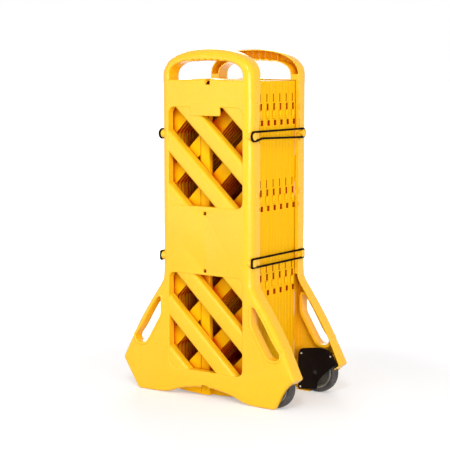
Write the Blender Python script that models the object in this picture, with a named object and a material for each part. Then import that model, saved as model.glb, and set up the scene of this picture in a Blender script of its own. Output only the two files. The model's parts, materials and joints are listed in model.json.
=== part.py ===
"""Expandable safety barrier, folded: two end frames and fourteen grille panels in a hinged concertina.

Metres, +Z up, the front end frame facing -Y, the origin on the floor at the middle of the folded barrier.
A depth is measured from the outer face of an end frame towards the middle of the barrier.
"""

import math

import bmesh
import bpy

for old in list(bpy.data.objects):
    bpy.data.objects.remove(old, do_unlink=True)

# Overall sizes
HEIGHT = 1.016
DEPTH = 0.305
BODY_WIDTH = 0.310
FOOT_REACH = 0.150
HANDLE_HEIGHT = 0.087

# Clearances
SEAT_GAP = 0.0003
PANEL_GAP = 0.0005
KNUCKLE_GAP = 0.0005
TURN_GAP = 0.0006
SLIDE_GAP = 0.0003
OVERRUN = 0.006
SMOOTH_ANGLE = math.radians(38)

# End frame shell
FRAME_DEPTH = 0.050
SHELL_WALL = 0.0025
FACE_WALL = 0.003
TOP_HUMP = 0.003
HUMP_HALF = 0.070
BODY_ROUND = 0.014
LEG_ROUND = 0.004
LEG_ROUND_SHARE = 0.5
BACK_ROUND = 0.0006
ROUND_STEPS = 3
BACK_STEPS = 2

# Legs and arch of an end frame: across from the body's side to the foot tip, and up to the leg's top
LEG_TOP_SHARE = 0.3789
LEG_EDGE_SHARES = (
    (1.0, 0.255), (0.860, 0.381), (0.693, 0.523), (0.547, 0.628), (0.380, 0.736),
    (0.213, 0.836), (0.067, 0.925), (0.016, 0.968), (0.0, 1.0),
)
PLAIN_FOOT_SHARES = ((0.613, 0.0), (0.907, 0.190))
WHEEL_FOOT_SHARES = (
    (0.547, 0.0), (0.633, 0.065), (0.693, 0.116), (0.773, 0.170), (0.873, 0.216),
)
ARCH_MARGIN = 0.012
ARCH_RISE = 0.034
ARCH_SHARES = ((0.664, 0.60), (0.287, 0.90), (0.0, 1.0), (-0.287, 0.90), (-0.664, 0.60))

# Hand slots of the legs, in the same shares as the leg's edge
SLOT_SHARES = (
    (0.100, 0.812), (0.022, 0.820), (0.022, 0.668), (0.320, 0.426), (0.393, 0.395), (0.513, 0.384),
    (0.613, 0.398), (0.640, 0.440), (0.507, 0.545), (0.313, 0.685),
)
SLOT_RIM = 0.0025
SLOT_RIM_DEPTH = 0.030

# Carrying handle
HANDLE_BAR = 0.030
HANDLE_SIDE = 0.029
HANDLE_POWER = 2.3
GRIP_POWER = 2.7
HANDLE_ROUND = 0.011
GRIP_ROUND = 0.005
SHOULDER = 0.011
GRIP_SHOULDER = 0.006
HANDLE_STEPS = 7
FINGERS = 5
FINGER_PITCH = 0.022
FINGER_DIP = 0.0035
FINGER_POINTS = 4

# Windows and diagonal braces of an end frame, their heights in shares of the body's top
WINDOW_MARGIN = 0.025
WINDOW_HEIGHT_SHARE = 0.3068
UPPER_WINDOW_SHARE = 0.7616
LOWER_WINDOW_SHARE = 0.2406
WINDOW_ROUND = 0.020
CORNER_STEPS = 2
RIM = 0.0025
RIM_STEP = 0.004
BRACE_PITCH_SHARE = 0.5193
BRACE_RISE = 0.062
BRACE_START = 0.002
BRACE_CLEARANCE = 0.005
BRACE_ROUND = 0.005
BRACE_WALL = 0.003
BRACE_BITE = 0.0015
BRACE_COUNT = 4

# Name plate, bare
PLATE_WIDTH = 0.104
PLATE_HEIGHT = 0.036
PLATE_RISE = 0.012
PLATE_RAISE = 0.0012
PLATE_THICKNESS = 0.005

# Grille panels
PANEL_COUNT = 12
PANEL_FOOT = 0.003
PANEL_SAG = 0.009
PANEL_DROP = 0.004
PANEL_RIM = 0.0025
PANEL_PLATE = 0.0035
SAG_STEPS = 4
GRILLE_RISE = 0.060
STILE = 0.030
GRILLE_COUNT = 3

# Panel hinges, at heights in shares of the body's top
HINGE_TOP_SHARE = 0.8875
HINGE_STEP_SHARE = 0.2648
HINGE_COUNT = 3
KNUCKLE_RADIUS = 0.005
KNUCKLE_SIDES = 8
LOWER_KNUCKLE = 0.0050
UPPER_KNUCKLE = 0.0155
PIN_RADIUS = 0.0022
PIN_SIDES = 6
PIN_FLOOR = 0.0010
SLOT_LENGTH = 0.0210
SQUARE_LENGTH = 0.0200
SQUARE_WIDTH = 0.0090

# Centre hinges between an end frame and its half panel
CENTRE_RADIUS = 0.006
CENTRE_SIDES = 8
CENTRE_PIN_RADIUS = 0.0025
CENTRE_PIN_HEAD = 0.0035
PIN_HEAD_LENGTH = 0.002
CENTRE_EAR = 0.0080
TOP_SPAN = 0.042
TOP_SPAN_DROP = 0.019
MIDDLE_SPAN = 0.175
FOOT_SPAN = 0.030
FOOT_SPAN_RISE = 0.010
CORE_HOLE = 0.007
TOP_NOTCH_START = 0.001
TOP_NOTCH_WIDTH = 0.017
TOP_NOTCH_DROP = 0.014
FOOT_NOTCH_START = -0.014
FOOT_NOTCH_WIDTH = 0.024
FOOT_NOTCH_RISE = 0.006

# Wheels, in shares of the foot's reach, the leg's height and the wheel's radius
WHEEL_REACH_SHARE = 0.45333
WHEEL_RADIUS_SHARE = 0.17614
HUB_RADIUS_SHARE = 0.7258
WHEEL_WIDTH = 0.030
WHEEL_DEPTH = 0.032
WHEEL_SIDES = 24
HUB_HALF = 0.012
TREAD_SHARES = ((0.0, 0.87), (0.42, 1.0), (0.80, 0.93), (1.0, 0.62))
DISH_SHARES = ((0.84, 0.40), (0.34, 0.40), (0.27, 1.15))
AXLE_RADIUS = 0.004
AXLE_SIDES = 10
AXLE_HEAD_RADIUS = 0.0075
AXLE_HEAD = 0.004
AXLE_HEAD_SIDES = 6
WELL_GAP = 0.004
WELL_SIDES = 20
BOSS_RADIUS = 0.009
BOSS_END = 0.015
AXLE_SEAT = 0.007

# Wheel covers and their screws, in shares of the wheel's radius from its centre
COVER_THICKNESS = 0.002
COVER_SHARES = (
    (-0.968, -0.935), (0.081, -0.806), (0.129, -0.435), (0.323, -0.194), (0.855, 0.290), (1.145, 0.484),
    (0.887, 1.081), (0.548, 1.194), (0.274, 1.226), (-0.306, 1.161), (-0.823, 1.065), (-0.960, 0.871),
    (-0.984, 0.581),
)
COVER_SCREW_SHARES = ((-0.806, 0.839), (0.823, 0.855), (-0.839, -0.806))
SCREW_BOSS_RADIUS = 0.0045
SCREW_RADIUS = 0.0015
SCREW_HEAD_RADIUS = 0.0035
SCREW_HEAD = 0.0018
SCREW_LENGTH = 0.012
SCREW_SIDES = 6

# Elastic loops and their buttons
CORD_RADIUS = 0.0025
CORD_SIDES = 6
CORD_GAP = 0.0004
UPPER_LOOP_SHARE = 0.8299
LOWER_LOOP_SHARE = 0.4435
FRONT_BUTTON = 0.020
REAR_BUTTON = 0.032
BUTTON_RADIUS = 0.0095
BLOCK_WIDTH = 0.013
BLOCK_HEIGHT = 0.018
BLOCK_BEND = 0.0032
BUTTON_FLANGE = 0.003
BUTTON_CAP = 0.003
PEG_RADIUS = 0.003
PEG_SIDES = 6
PEG_LENGTH = 0.006
BUTTON_SIDES = 12
BEND_STEPS = 6

# Places worked out from the sizes
FRONT_FACE = -DEPTH / 2
HALF_BODY = BODY_WIDTH / 2
BODY_TOP = HEIGHT - HANDLE_HEIGHT
LEG_TOP = BODY_TOP * LEG_TOP_SHARE
ARCH_HALF = HALF_BODY - ARCH_MARGIN
WHEEL_X = HALF_BODY + FOOT_REACH * WHEEL_REACH_SHARE
WHEEL_RADIUS = LEG_TOP * WHEEL_RADIUS_SHARE
HUB_RADIUS = WHEEL_RADIUS * HUB_RADIUS_SHARE
PANEL_PITCH = (DEPTH - 2 * FRAME_DEPTH) / PANEL_COUNT
PANEL_THICKNESS = PANEL_PITCH - PANEL_GAP
PANEL_TOP = BODY_TOP - PANEL_DROP
HINGE_X = HALF_BODY - SHELL_WALL - KNUCKLE_GAP - KNUCKLE_RADIUS
HINGE_HEIGHTS = [BODY_TOP * (HINGE_TOP_SHARE - HINGE_STEP_SHARE * count) for count in range(HINGE_COUNT)]
PANEL_HALF = HINGE_X - KNUCKLE_GAP
NOTCH = KNUCKLE_RADIUS + TURN_GAP
CENTRE_DEPTH = FRAME_DEPTH - PANEL_PITCH / 2
CENTRE_AXIS = FRONT_FACE + CENTRE_DEPTH
COVER_DEPTH = FRAME_DEPTH + SEAT_GAP
WINDOW_HALF = HALF_BODY - WINDOW_MARGIN
WINDOW_HEIGHT = BODY_TOP * WINDOW_HEIGHT_SHARE
UPPER_WINDOW = BODY_TOP * UPPER_WINDOW_SHARE
LOWER_WINDOW = BODY_TOP * LOWER_WINDOW_SHARE
BRACE_PITCH = WINDOW_HEIGHT * BRACE_PITCH_SHARE
BRACE_BACK = FRAME_DEPTH - PANEL_PITCH - BRACE_CLEARANCE
RIM_DEPTH = BRACE_BACK - RIM_STEP
BAND_MIDDLE = (UPPER_WINDOW + LOWER_WINDOW) / 2
CENTRE_SPANS = {
    "top": (BODY_TOP - TOP_SPAN_DROP - TOP_SPAN, BODY_TOP - TOP_SPAN_DROP),
    "middle": (BAND_MIDDLE - MIDDLE_SPAN / 2, BAND_MIDDLE + MIDDLE_SPAN / 2),
    "bottom": (ARCH_RISE + FOOT_SPAN_RISE, ARCH_RISE + FOOT_SPAN_RISE + FOOT_SPAN),
}
PLATE_TOP = UPPER_WINDOW + WINDOW_HEIGHT / 2 + PLATE_RISE
PLATE_FOOT = PLATE_TOP - PLATE_HEIGHT
UPPER_LOOP = BODY_TOP * UPPER_LOOP_SHARE
LOWER_LOOP = BODY_TOP * LOWER_LOOP_SHARE

# Finishes: colour, roughness, metallic value
YELLOW = ((1.0, 0.62, 0.03, 1.0), 0.38, 0.0)
AMBER = ((1.0, 0.52, 0.015, 1.0), 0.42, 0.0)
BLACK = ((0.012, 0.012, 0.013, 1.0), 0.55, 0.0)
RUBBER = ((0.065, 0.066, 0.07, 1.0), 0.7, 0.0)
HUB_GREY = ((0.11, 0.11, 0.095, 1.0), 0.5, 0.0)
STEEL = ((0.62, 0.62, 0.60, 1.0), 0.3, 1.0)


def material(name, finish):
    """A Principled material of one finish for one piece."""
    colour, roughness, metallic = finish
    made = bpy.data.materials.new(name)
    made.use_nodes = True
    shader = made.node_tree.nodes["Principled BSDF"]
    shader.inputs["Base Color"].default_value = colour
    shader.inputs["Roughness"].default_value = roughness
    shader.inputs["Metallic"].default_value = metallic
    return made


def solid(name, points, faces):
    """A mesh object of these points and faces, its faces turned outwards."""
    mesh = bpy.data.meshes.new(name)
    mesh.from_pydata(points, [], faces)
    shape = bmesh.new()
    shape.from_mesh(mesh)
    bmesh.ops.recalc_face_normals(shape, faces=shape.faces)
    shape.to_mesh(mesh)
    shape.free()
    made = bpy.data.objects.new(name, mesh)
    bpy.context.scene.collection.objects.link(made)
    return made


def stacked(name, rings):
    """A closed solid through rings of equally many points, with a face on the first and the last."""
    count = len(rings[0])
    points = [point for ring in rings for point in ring]
    faces = [tuple(range(count)), tuple(range((len(rings) - 1) * count, len(rings) * count))]
    for ring in range(len(rings) - 1):
        for i in range(count):
            j = (i + 1) % count
            faces.append((ring * count + i, ring * count + j, (ring + 1) * count + j, (ring + 1) * count + i))
    return solid(name, points, faces)


def looped(name, rings):
    """A closed ring-shaped solid through rings of equally many points, the last joined to the first."""
    count, laps = len(rings[0]), len(rings)
    points = [point for ring in rings for point in ring]
    faces = []
    for ring in range(laps):
        after = (ring + 1) % laps
        for i in range(count):
            j = (i + 1) % count
            faces.append((ring * count + i, ring * count + j, after * count + j, after * count + i))
    return solid(name, points, faces)


def inset(outline, distances):
    """The outline, counterclockwise in x and z, with each corner drawn in by its distance."""
    drawn = []
    for i, (x, z) in enumerate(outline):
        before, after = outline[i - 1], outline[(i + 1) % len(outline)]
        normals = []
        for (x0, z0), (x1, z1) in ((before, (x, z)), ((x, z), after)):
            length = math.hypot(x1 - x0, z1 - z0)
            normals.append((-(z1 - z0) / length, (x1 - x0) / length))
        (ax, az), (bx, bz) = normals
        share = distances[i] / (1 + ax * bx + az * bz)
        drawn.append((x + (ax + bx) * share, z + (az + bz) * share))
    return drawn


def prism(name, outline, front, back):
    """The outline in x and z, extruded from front to back along y."""
    return stacked(name, [[(x, y, z) for x, z in outline] for y in (front, back)])


def rounded_prism(name, outline, front, back, rounds, back_rounds=None, steps=ROUND_STEPS):
    """A prism whose front edge, and back edge if given, is rounded by a radius for each corner."""
    rings = []
    for step in range(steps, -1, -1):
        turn = math.pi / 2 * step / steps
        drawn = inset(outline, [radius * (1 - math.cos(turn)) for radius in rounds])
        rings.append([(x, front + r * (1 - math.sin(turn)), z) for (x, z), r in zip(drawn, rounds)])
    if back_rounds is None:
        rings.append([(x, back, z) for x, z in outline])
    else:
        for step in range(BACK_STEPS + 1):
            turn = math.pi / 2 * step / BACK_STEPS
            drawn = inset(outline, [radius * (1 - math.cos(turn)) for radius in back_rounds])
            rings.append([(x, back - r * (1 - math.sin(turn)), z) for (x, z), r in zip(drawn, back_rounds)])
    return stacked(name, rings)


def flared_prism(name, outline, front, back, radius):
    """A cutter through a wall that leaves the edges of its opening rounded."""
    turns = [math.pi / 2 * step / BACK_STEPS for step in range(BACK_STEPS, -1, -1)]
    levels = [(radius, front - OVERRUN)]
    levels += [(radius * (1 - math.cos(turn)), front + radius * (1 - math.sin(turn))) for turn in turns]
    levels += [(out, front + back - y) for out, y in reversed(levels)]
    return stacked(name, [[(x, y, z) for x, z in inset(outline, [-out] * len(outline))] for out, y in levels])


def box(name, low, high):
    """A box between two corners."""
    (x0, y0, z0), (x1, y1, z1) = low, high
    return prism(name, [(x0, z0), (x1, z0), (x1, z1), (x0, z1)], y0, y1)


def circle(radius, sides, start=0.0):
    """Points of a regular polygon about the origin."""
    turns = [2 * math.pi * (i + start) / sides for i in range(sides)]
    return [(radius * math.cos(turn), radius * math.sin(turn)) for turn in turns]


def upright(name, x, y, low, high, radius, sides):
    """A cylinder along z."""
    around = circle(radius, sides, 1 / 2)
    return stacked(name, [[(x + a, y + b, z) for a, b in around] for z in (low, high)])


def rod(name, x, z, front, back, radius, sides):
    """A cylinder along y."""
    return prism(name, [(x + a, z + b) for a, b in circle(radius, sides, 1 / 2)], front, back)


def crosswise(name, y, z, inner, outer, radius, sides):
    """A cylinder along x."""
    around = circle(radius, sides, 1 / 2)
    return stacked(name, [[(x, y + a, z + b) for a, b in around] for x in (inner, outer)])


def bore(radius, sides):
    """The radius of a polygonal hole in which a rod of this radius turns freely."""
    return (radius + SLIDE_GAP) / math.cos(math.pi / sides)


def rounded_box_outline(half, low, high, radius, steps):
    """A rectangle about x = 0 with rounded corners, counterclockwise."""
    outline = []
    corners = ((half, low, -1 / 2), (half, high, 0), (-half, high, 1 / 2), (-half, low, 1))
    for x, z, turn in corners:
        cx, cz = x - math.copysign(radius, x), z + (radius if z == low else -radius)
        for step in range(steps + 1):
            angle = math.pi * (turn + step / steps / 2)
            outline.append((cx + radius * math.cos(angle), cz + radius * math.sin(angle)))
    return outline


def clipped(outline, low_x, high_x, low_z, high_z):
    """The part of a convex outline that lies inside a rectangle."""
    for axis, limit, sign in ((0, low_x, 1), (0, high_x, -1), (1, low_z, 1), (1, high_z, -1)):
        kept = []
        for i, point in enumerate(outline):
            before = outline[i - 1]
            now, was = (sign * (point[axis] - limit), sign * (before[axis] - limit))
            if (now >= 0) != (was >= 0):
                share = was / (was - now)
                kept.append(tuple(b + (p - b) * share for b, p in zip(before, point)))
            if now >= 0:
                kept.append(point)
        outline = kept
    return outline


def strip(centre, slope, rise, reach):
    """A diagonal band of the given height that crosses x = 0 at the centre, counterclockwise."""
    low, high = centre - rise / 2, centre + rise / 2
    return [(-reach, low - slope * reach), (reach, low + slope * reach),
            (reach, high + slope * reach), (-reach, high - slope * reach)]


def shape(target, tools, operation):
    """Applies an exact Boolean with each tool in turn, and removes the tools."""
    for tool in tools:
        modifier = target.modifiers.new(tool.name, "BOOLEAN")
        modifier.operation = operation
        modifier.solver = "EXACT"
        modifier.object = tool
    shaped = bpy.data.meshes.new_from_object(target.evaluated_get(bpy.context.evaluated_depsgraph_get()))
    target.modifiers.clear()
    target.data = shaped
    for tool in tools:
        bpy.data.objects.remove(tool, do_unlink=True)
    return target


def cut(target, *tools):
    """The target without the tools."""
    return shape(target, tools, "DIFFERENCE")


def join(target, *tools):
    """The target with the tools fused to it."""
    return shape(target, tools, "UNION")


def finished(piece, name, finish, origin=(0, 0, 0)):
    """Names a piece, gives it its material and smooth shading, and puts its origin on its joint."""
    piece.name = name
    piece.data.name = name
    piece.data.materials.clear()
    piece.data.materials.append(material(name, finish))
    for vertex in piece.data.vertices:
        vertex.co = [value - start for value, start in zip(vertex.co, origin)]
    piece.location = origin
    piece.data.shade_smooth()
    piece.data.set_sharp_from_angle(angle=SMOOTH_ANGLE)
    return piece


def mirrored(piece, name):
    """A copy of an unplaced piece, mirrored from the front of the barrier to the rear."""
    made = bpy.data.objects.new(name, piece.data.copy())
    bpy.context.scene.collection.objects.link(made)
    for vertex in made.data.vertices:
        vertex.co.y = -vertex.co.y
    made.data.flip_normals()
    return made


def leg_point(side, across, up):
    """A point of a leg from its shares across and up, on the side of this sign."""
    return side * (HALF_BODY + FOOT_REACH * across), LEG_TOP * up


def frame_outline():
    """The end frame's outline, legs, sides and handle arch, counterclockwise, and each corner's roundings."""
    right = [leg_point(1, *share) for share in (*WHEEL_FOOT_SHARES, *LEG_EDGE_SHARES)]
    left = [leg_point(-1, *share) for share in (*PLAIN_FOOT_SHARES, *LEG_EDGE_SHARES)]
    arch = [(ARCH_HALF * across, ARCH_RISE * up) for across, up in ARCH_SHARES]
    handle = []
    for step in range(2 * HANDLE_STEPS + 1):
        turn = math.pi * step / (2 * HANDLE_STEPS)
        across, up = math.cos(turn), abs(math.sin(turn))
        handle.append((math.copysign(abs(across) ** (2 / HANDLE_POWER), across) * HALF_BODY,
                       BODY_TOP + SHOULDER + up ** (2 / HANDLE_POWER) * (HEIGHT - BODY_TOP - SHOULDER)))
    outline = [*right, *handle, *reversed(left), (-ARCH_HALF, 0), *reversed(arch), (ARCH_HALF, 0)]
    shares = [min(1, max(0, (z / LEG_TOP - LEG_ROUND_SHARE) / (1 - LEG_ROUND_SHARE))) for _, z in outline]
    rounds = [LEG_ROUND + (BODY_ROUND - LEG_ROUND) * share for share in shares]
    back_rounds = [HANDLE_ROUND if z > BODY_TOP else BACK_ROUND for _, z in outline]
    return outline, rounds, back_rounds


def hollow_outline():
    """The outline of the shell's inside, which ends below the handle."""
    outline, rounds, _ = frame_outline()
    kept = [(point, radius) for point, radius in zip(outline, rounds) if point[1] < BODY_TOP]
    top = max(i for i, (point, _) in enumerate(kept) if point[0] > 0 and point[1] >= LEG_TOP)
    kept[top + 1:top + 1] = [((HALF_BODY, BODY_TOP), BODY_ROUND), ((-HALF_BODY, BODY_TOP), BODY_ROUND)]
    inside = inset([point for point, _ in kept], [SHELL_WALL] * len(kept))
    return inside, [radius - SHELL_WALL for _, radius in kept]


def grip_outline():
    """The handle's opening, counterclockwise, with a hump at its foot and finger grips at its top."""
    half, grip = HALF_BODY - HANDLE_SIDE, HEIGHT - BODY_TOP - HANDLE_BAR - GRIP_SHOULDER
    grip_half = FINGERS * FINGER_PITCH / 2
    side = []
    for step in range(HANDLE_STEPS):
        turn = math.pi / 2 * step / HANDLE_STEPS
        x = half * math.cos(turn) ** (2 / GRIP_POWER)
        if x > grip_half + FINGER_PITCH / FINGER_POINTS:
            side.append((x, BODY_TOP + GRIP_SHOULDER + math.sin(turn) ** (2 / GRIP_POWER) * grip))
    ripples = []
    for step in range(FINGERS * FINGER_POINTS + 1):
        x = grip_half - step * FINGER_PITCH / FINGER_POINTS
        crown = (1 - (abs(x) / half) ** GRIP_POWER) ** (1 / GRIP_POWER)
        dip = FINGER_DIP / 2 * (1 + math.cos(2 * math.pi * step / FINGER_POINTS))
        ripples.append((x, BODY_TOP + GRIP_SHOULDER + crown * grip - dip))
    foot = [(-half, BODY_TOP), (-HUMP_HALF, BODY_TOP), (0, BODY_TOP + TOP_HUMP), (HUMP_HALF, BODY_TOP)]
    return foot + [(half, BODY_TOP)] + side + ripples + [(-x, z) for x, z in reversed(side)]


def braces(centre):
    """The solid diagonal braces of one window, and the pockets that hollow them from behind."""
    low, high = centre - WINDOW_HEIGHT / 2, centre + WINDOW_HEIGHT / 2
    first = centre - BRACE_PITCH * (BRACE_COUNT - 1) / 2
    bars, pockets = [], []
    for count in range(BRACE_COUNT):
        band = strip(first + BRACE_PITCH * count, -1, BRACE_RISE, BODY_WIDTH)
        outline = clipped(band, -WINDOW_HALF - BRACE_BITE, WINDOW_HALF + BRACE_BITE,
                          low - BRACE_BITE, high + BRACE_BITE)
        bars.append(rounded_prism("brace", outline, FRONT_FACE + BRACE_START, FRONT_FACE + BRACE_BACK,
                                  [BRACE_ROUND] * len(outline), steps=2))
        thin = strip(first + BRACE_PITCH * count, -1, BRACE_RISE - 2 * math.sqrt(2) * BRACE_WALL, BODY_WIDTH)
        hollow = clipped(thin, -WINDOW_HALF + BRACE_WALL, WINDOW_HALF - BRACE_WALL,
                         low + BRACE_WALL, high - BRACE_WALL)
        pockets.append(prism("brace pocket", hollow, FRONT_FACE + BRACE_START + BRACE_ROUND,
                             FRONT_FACE + BRACE_BACK + OVERRUN))
    return bars, pockets


def cover_screw_places():
    """Where the wheel cover's screws stand, in x and z."""
    return [(WHEEL_X + WHEEL_RADIUS * across, WHEEL_RADIUS * (1 + up)) for across, up in COVER_SCREW_SHARES]


def button_places():
    """Each cord button of the front and the rear: name, side, height, and depth from its end's face."""
    return [
        (f"{end}_{height_name}_{side_name}_button", side, height, depth, end)
        for end, depth in (("front", FRONT_BUTTON), ("rear", REAR_BUTTON))
        for side_name, side in (("right", 1), ("left", -1))
        for height_name, height in (("upper", UPPER_LOOP), ("lower", LOWER_LOOP))
    ]


def end_frame():
    """The front end frame: shell, handle, windows, braces, slots, wheel well, hinge ears and bosses."""
    outline, rounds, back_rounds = frame_outline()
    frame = rounded_prism("frame", outline, FRONT_FACE, FRONT_FACE + FRAME_DEPTH, rounds, back_rounds)
    inside, inside_rounds = hollow_outline()
    cut(frame,
        rounded_prism("hollow", inside, FRONT_FACE + FACE_WALL, FRONT_FACE + FRAME_DEPTH + OVERRUN,
                      inside_rounds, steps=1),
        flared_prism("grip", grip_outline(), FRONT_FACE, FRONT_FACE + FRAME_DEPTH, GRIP_ROUND))
    additions, removals = [], []
    for centre in (UPPER_WINDOW, LOWER_WINDOW):
        low, high = centre - WINDOW_HEIGHT / 2, centre + WINDOW_HEIGHT / 2
        around = rounded_box_outline(WINDOW_HALF + RIM, low - RIM, high + RIM,
                                     WINDOW_ROUND + RIM, CORNER_STEPS)
        within = rounded_box_outline(WINDOW_HALF, low, high, WINDOW_ROUND, CORNER_STEPS)
        additions.append(prism("rim", around, FRONT_FACE + FACE_WALL / 2, FRONT_FACE + RIM_DEPTH))
        removals.append(prism("window", within, FRONT_FACE - OVERRUN, FRONT_FACE + FRAME_DEPTH))
    for side in (1, -1):
        slot = [leg_point(side, *share) for share in SLOT_SHARES]
        slot = slot if side > 0 else list(reversed(slot))
        around = inset(slot, [-SLOT_RIM] * len(slot))
        additions.append(prism("slot rim", around, FRONT_FACE + FACE_WALL / 2, FRONT_FACE + SLOT_RIM_DEPTH))
        removals.append(prism("slot", slot, FRONT_FACE - OVERRUN, FRONT_FACE + FRAME_DEPTH))
    boss_end = FRONT_FACE + BOSS_END
    additions.append(rod("axle boss", WHEEL_X, WHEEL_RADIUS, FRONT_FACE + FACE_WALL / 2, boss_end,
                         BOSS_RADIUS, AXLE_SIDES))
    removals.append(rod("axle bore", WHEEL_X, WHEEL_RADIUS, FRONT_FACE + AXLE_SEAT, boss_end + OVERRUN,
                        AXLE_RADIUS + SLIDE_GAP, AXLE_SIDES))
    join(frame, *additions)
    cut(frame, *removals)
    inside, back = HALF_BODY - SHELL_WALL - SEAT_GAP, FRONT_FACE + FRAME_DEPTH
    cut(frame,
        rod("well", WHEEL_X, WHEEL_RADIUS, boss_end + SEAT_GAP, back + OVERRUN,
            WHEEL_RADIUS + WELL_GAP, WELL_SIDES),
        box("stack space", (-inside, back - PANEL_PITCH - PANEL_GAP, -OVERRUN),
            (inside, back + OVERRUN, PANEL_TOP + PANEL_GAP)))
    bars, pockets = [], []
    for centre in (UPPER_WINDOW, LOWER_WINDOW):
        more_bars, more_pockets = braces(centre)
        bars += more_bars
        pockets += more_pockets
    join(frame, *bars)
    cut(frame, *pockets)
    turns = [2 * math.pi * i / CENTRE_SIDES for i in range(CENTRE_SIDES // 2 + 1)]
    ear = [(-CENTRE_RADIUS, FRONT_FACE + FACE_WALL / 2), (CENTRE_RADIUS, FRONT_FACE + FACE_WALL / 2)]
    ear += [(CENTRE_RADIUS * math.cos(turn), CENTRE_AXIS + CENTRE_RADIUS * math.sin(turn)) for turn in turns]
    ears = [
        stacked("ear", [[(x, y, z) for x, y in ear] for z in (start, start + CENTRE_EAR)])
        for low, high in CENTRE_SPANS.values() for start in (low, high - CENTRE_EAR)
    ]
    bosses = [
        rod("screw boss", x, z, FRONT_FACE + FACE_WALL / 2, back, SCREW_BOSS_RADIUS, SCREW_SIDES)
        for x, z in cover_screw_places()
    ]
    plate = rounded_prism(
        "name plate",
        [(-PLATE_WIDTH / 2, PLATE_FOOT), (PLATE_WIDTH / 2, PLATE_FOOT),
         (PLATE_WIDTH / 2, PLATE_TOP), (-PLATE_WIDTH / 2, PLATE_TOP)],
        FRONT_FACE, FRONT_FACE + PLATE_THICKNESS, [PLATE_RAISE] * 4, steps=1)
    join(frame, *ears, *bosses, plate)
    holes = [
        rod("screw hole", x, z, back - SCREW_LENGTH, back + OVERRUN, SCREW_RADIUS + SLIDE_GAP, SCREW_SIDES)
        for x, z in cover_screw_places()
    ]
    for low, high in CENTRE_SPANS.values():
        holes.append(upright("pin hole", 0, CENTRE_AXIS, low - OVERRUN, high + OVERRUN,
                             CENTRE_PIN_RADIUS + SLIDE_GAP, PIN_SIDES))
    middle_low, middle_high = CENTRE_SPANS["middle"]
    for height in (middle_low + CENTRE_EAR / 2, middle_high - CENTRE_EAR / 2):
        holes.append(box("core hole", (-CORE_HOLE / 2, FRONT_FACE - OVERRUN, height - CORE_HOLE / 2),
                         (CORE_HOLE / 2, FRONT_FACE + RIM_DEPTH, height + CORE_HOLE / 2)))
    holes.append(box("top notch", (TOP_NOTCH_START, FRONT_FACE - OVERRUN, BODY_TOP - TOP_NOTCH_DROP),
                     (TOP_NOTCH_START + TOP_NOTCH_WIDTH, FRONT_FACE + RIM_DEPTH,
                      BODY_TOP + TOP_HUMP + OVERRUN)))
    holes.append(box("foot notch", (FOOT_NOTCH_START, FRONT_FACE - OVERRUN, 0),
                     (FOOT_NOTCH_START + FOOT_NOTCH_WIDTH, FRONT_FACE + RIM_DEPTH,
                      ARCH_RISE + FOOT_NOTCH_RISE)))
    return cut(frame, *holes)


def with_peg_holes(frame, end):
    """Bores an end frame's sides for the pegs of its cord buttons."""
    holes = []
    for _, side, height, depth, button_end in button_places():
        if button_end == end:
            y = FRONT_FACE + depth if end == "front" else -FRONT_FACE - depth
            holes.append(crosswise("peg hole", y, height, side * (HALF_BODY - SHELL_WALL - OVERRUN),
                                   side * (HALF_BODY + OVERRUN), PEG_RADIUS + SLIDE_GAP, PEG_SIDES))
    return cut(frame, *holes)


def panel_outline(left, right):
    """A panel's outline between two sides, with its foot edge bowed down at the middle of the barrier."""
    foot = []
    for step in range(SAG_STEPS + 1):
        x = left + (right - left) * step / SAG_STEPS
        foot.append((x, PANEL_FOOT + PANEL_SAG * (x / HINGE_X) ** 2))
    return foot + [(right, PANEL_TOP), (left, PANEL_TOP)]


def tray(front, left, right, grille_left, grille_right, plate_first):
    """A panel without its hinges: a plate with a rim behind or before it, and a grille in each window."""
    back = front + PANEL_THICKNESS
    outline = panel_outline(left, right)
    body = prism("panel", outline, front, back)
    pocket_outline = inset(outline, [PANEL_RIM] * len(outline))
    if plate_first:
        pocket = prism("pocket", pocket_outline, front + PANEL_PLATE, back + OVERRUN)
    else:
        pocket = prism("pocket", pocket_outline, front - OVERRUN, back - PANEL_PLATE)
    gaps = []
    for centre in (UPPER_WINDOW, LOWER_WINDOW):
        for count in range(GRILLE_COUNT):
            height = centre + BRACE_PITCH * (count - (GRILLE_COUNT - 1) / 2)
            band = strip(height, 1, BRACE_PITCH - GRILLE_RISE, BODY_WIDTH)
            outline = clipped(band, grille_left, grille_right,
                              centre - WINDOW_HEIGHT / 2, centre + WINDOW_HEIGHT / 2)
            if outline:
                gaps.append(prism("gap", outline, front - 2 * OVERRUN, back + 2 * OVERRUN))
    return cut(body, pocket, *gaps)


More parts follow.
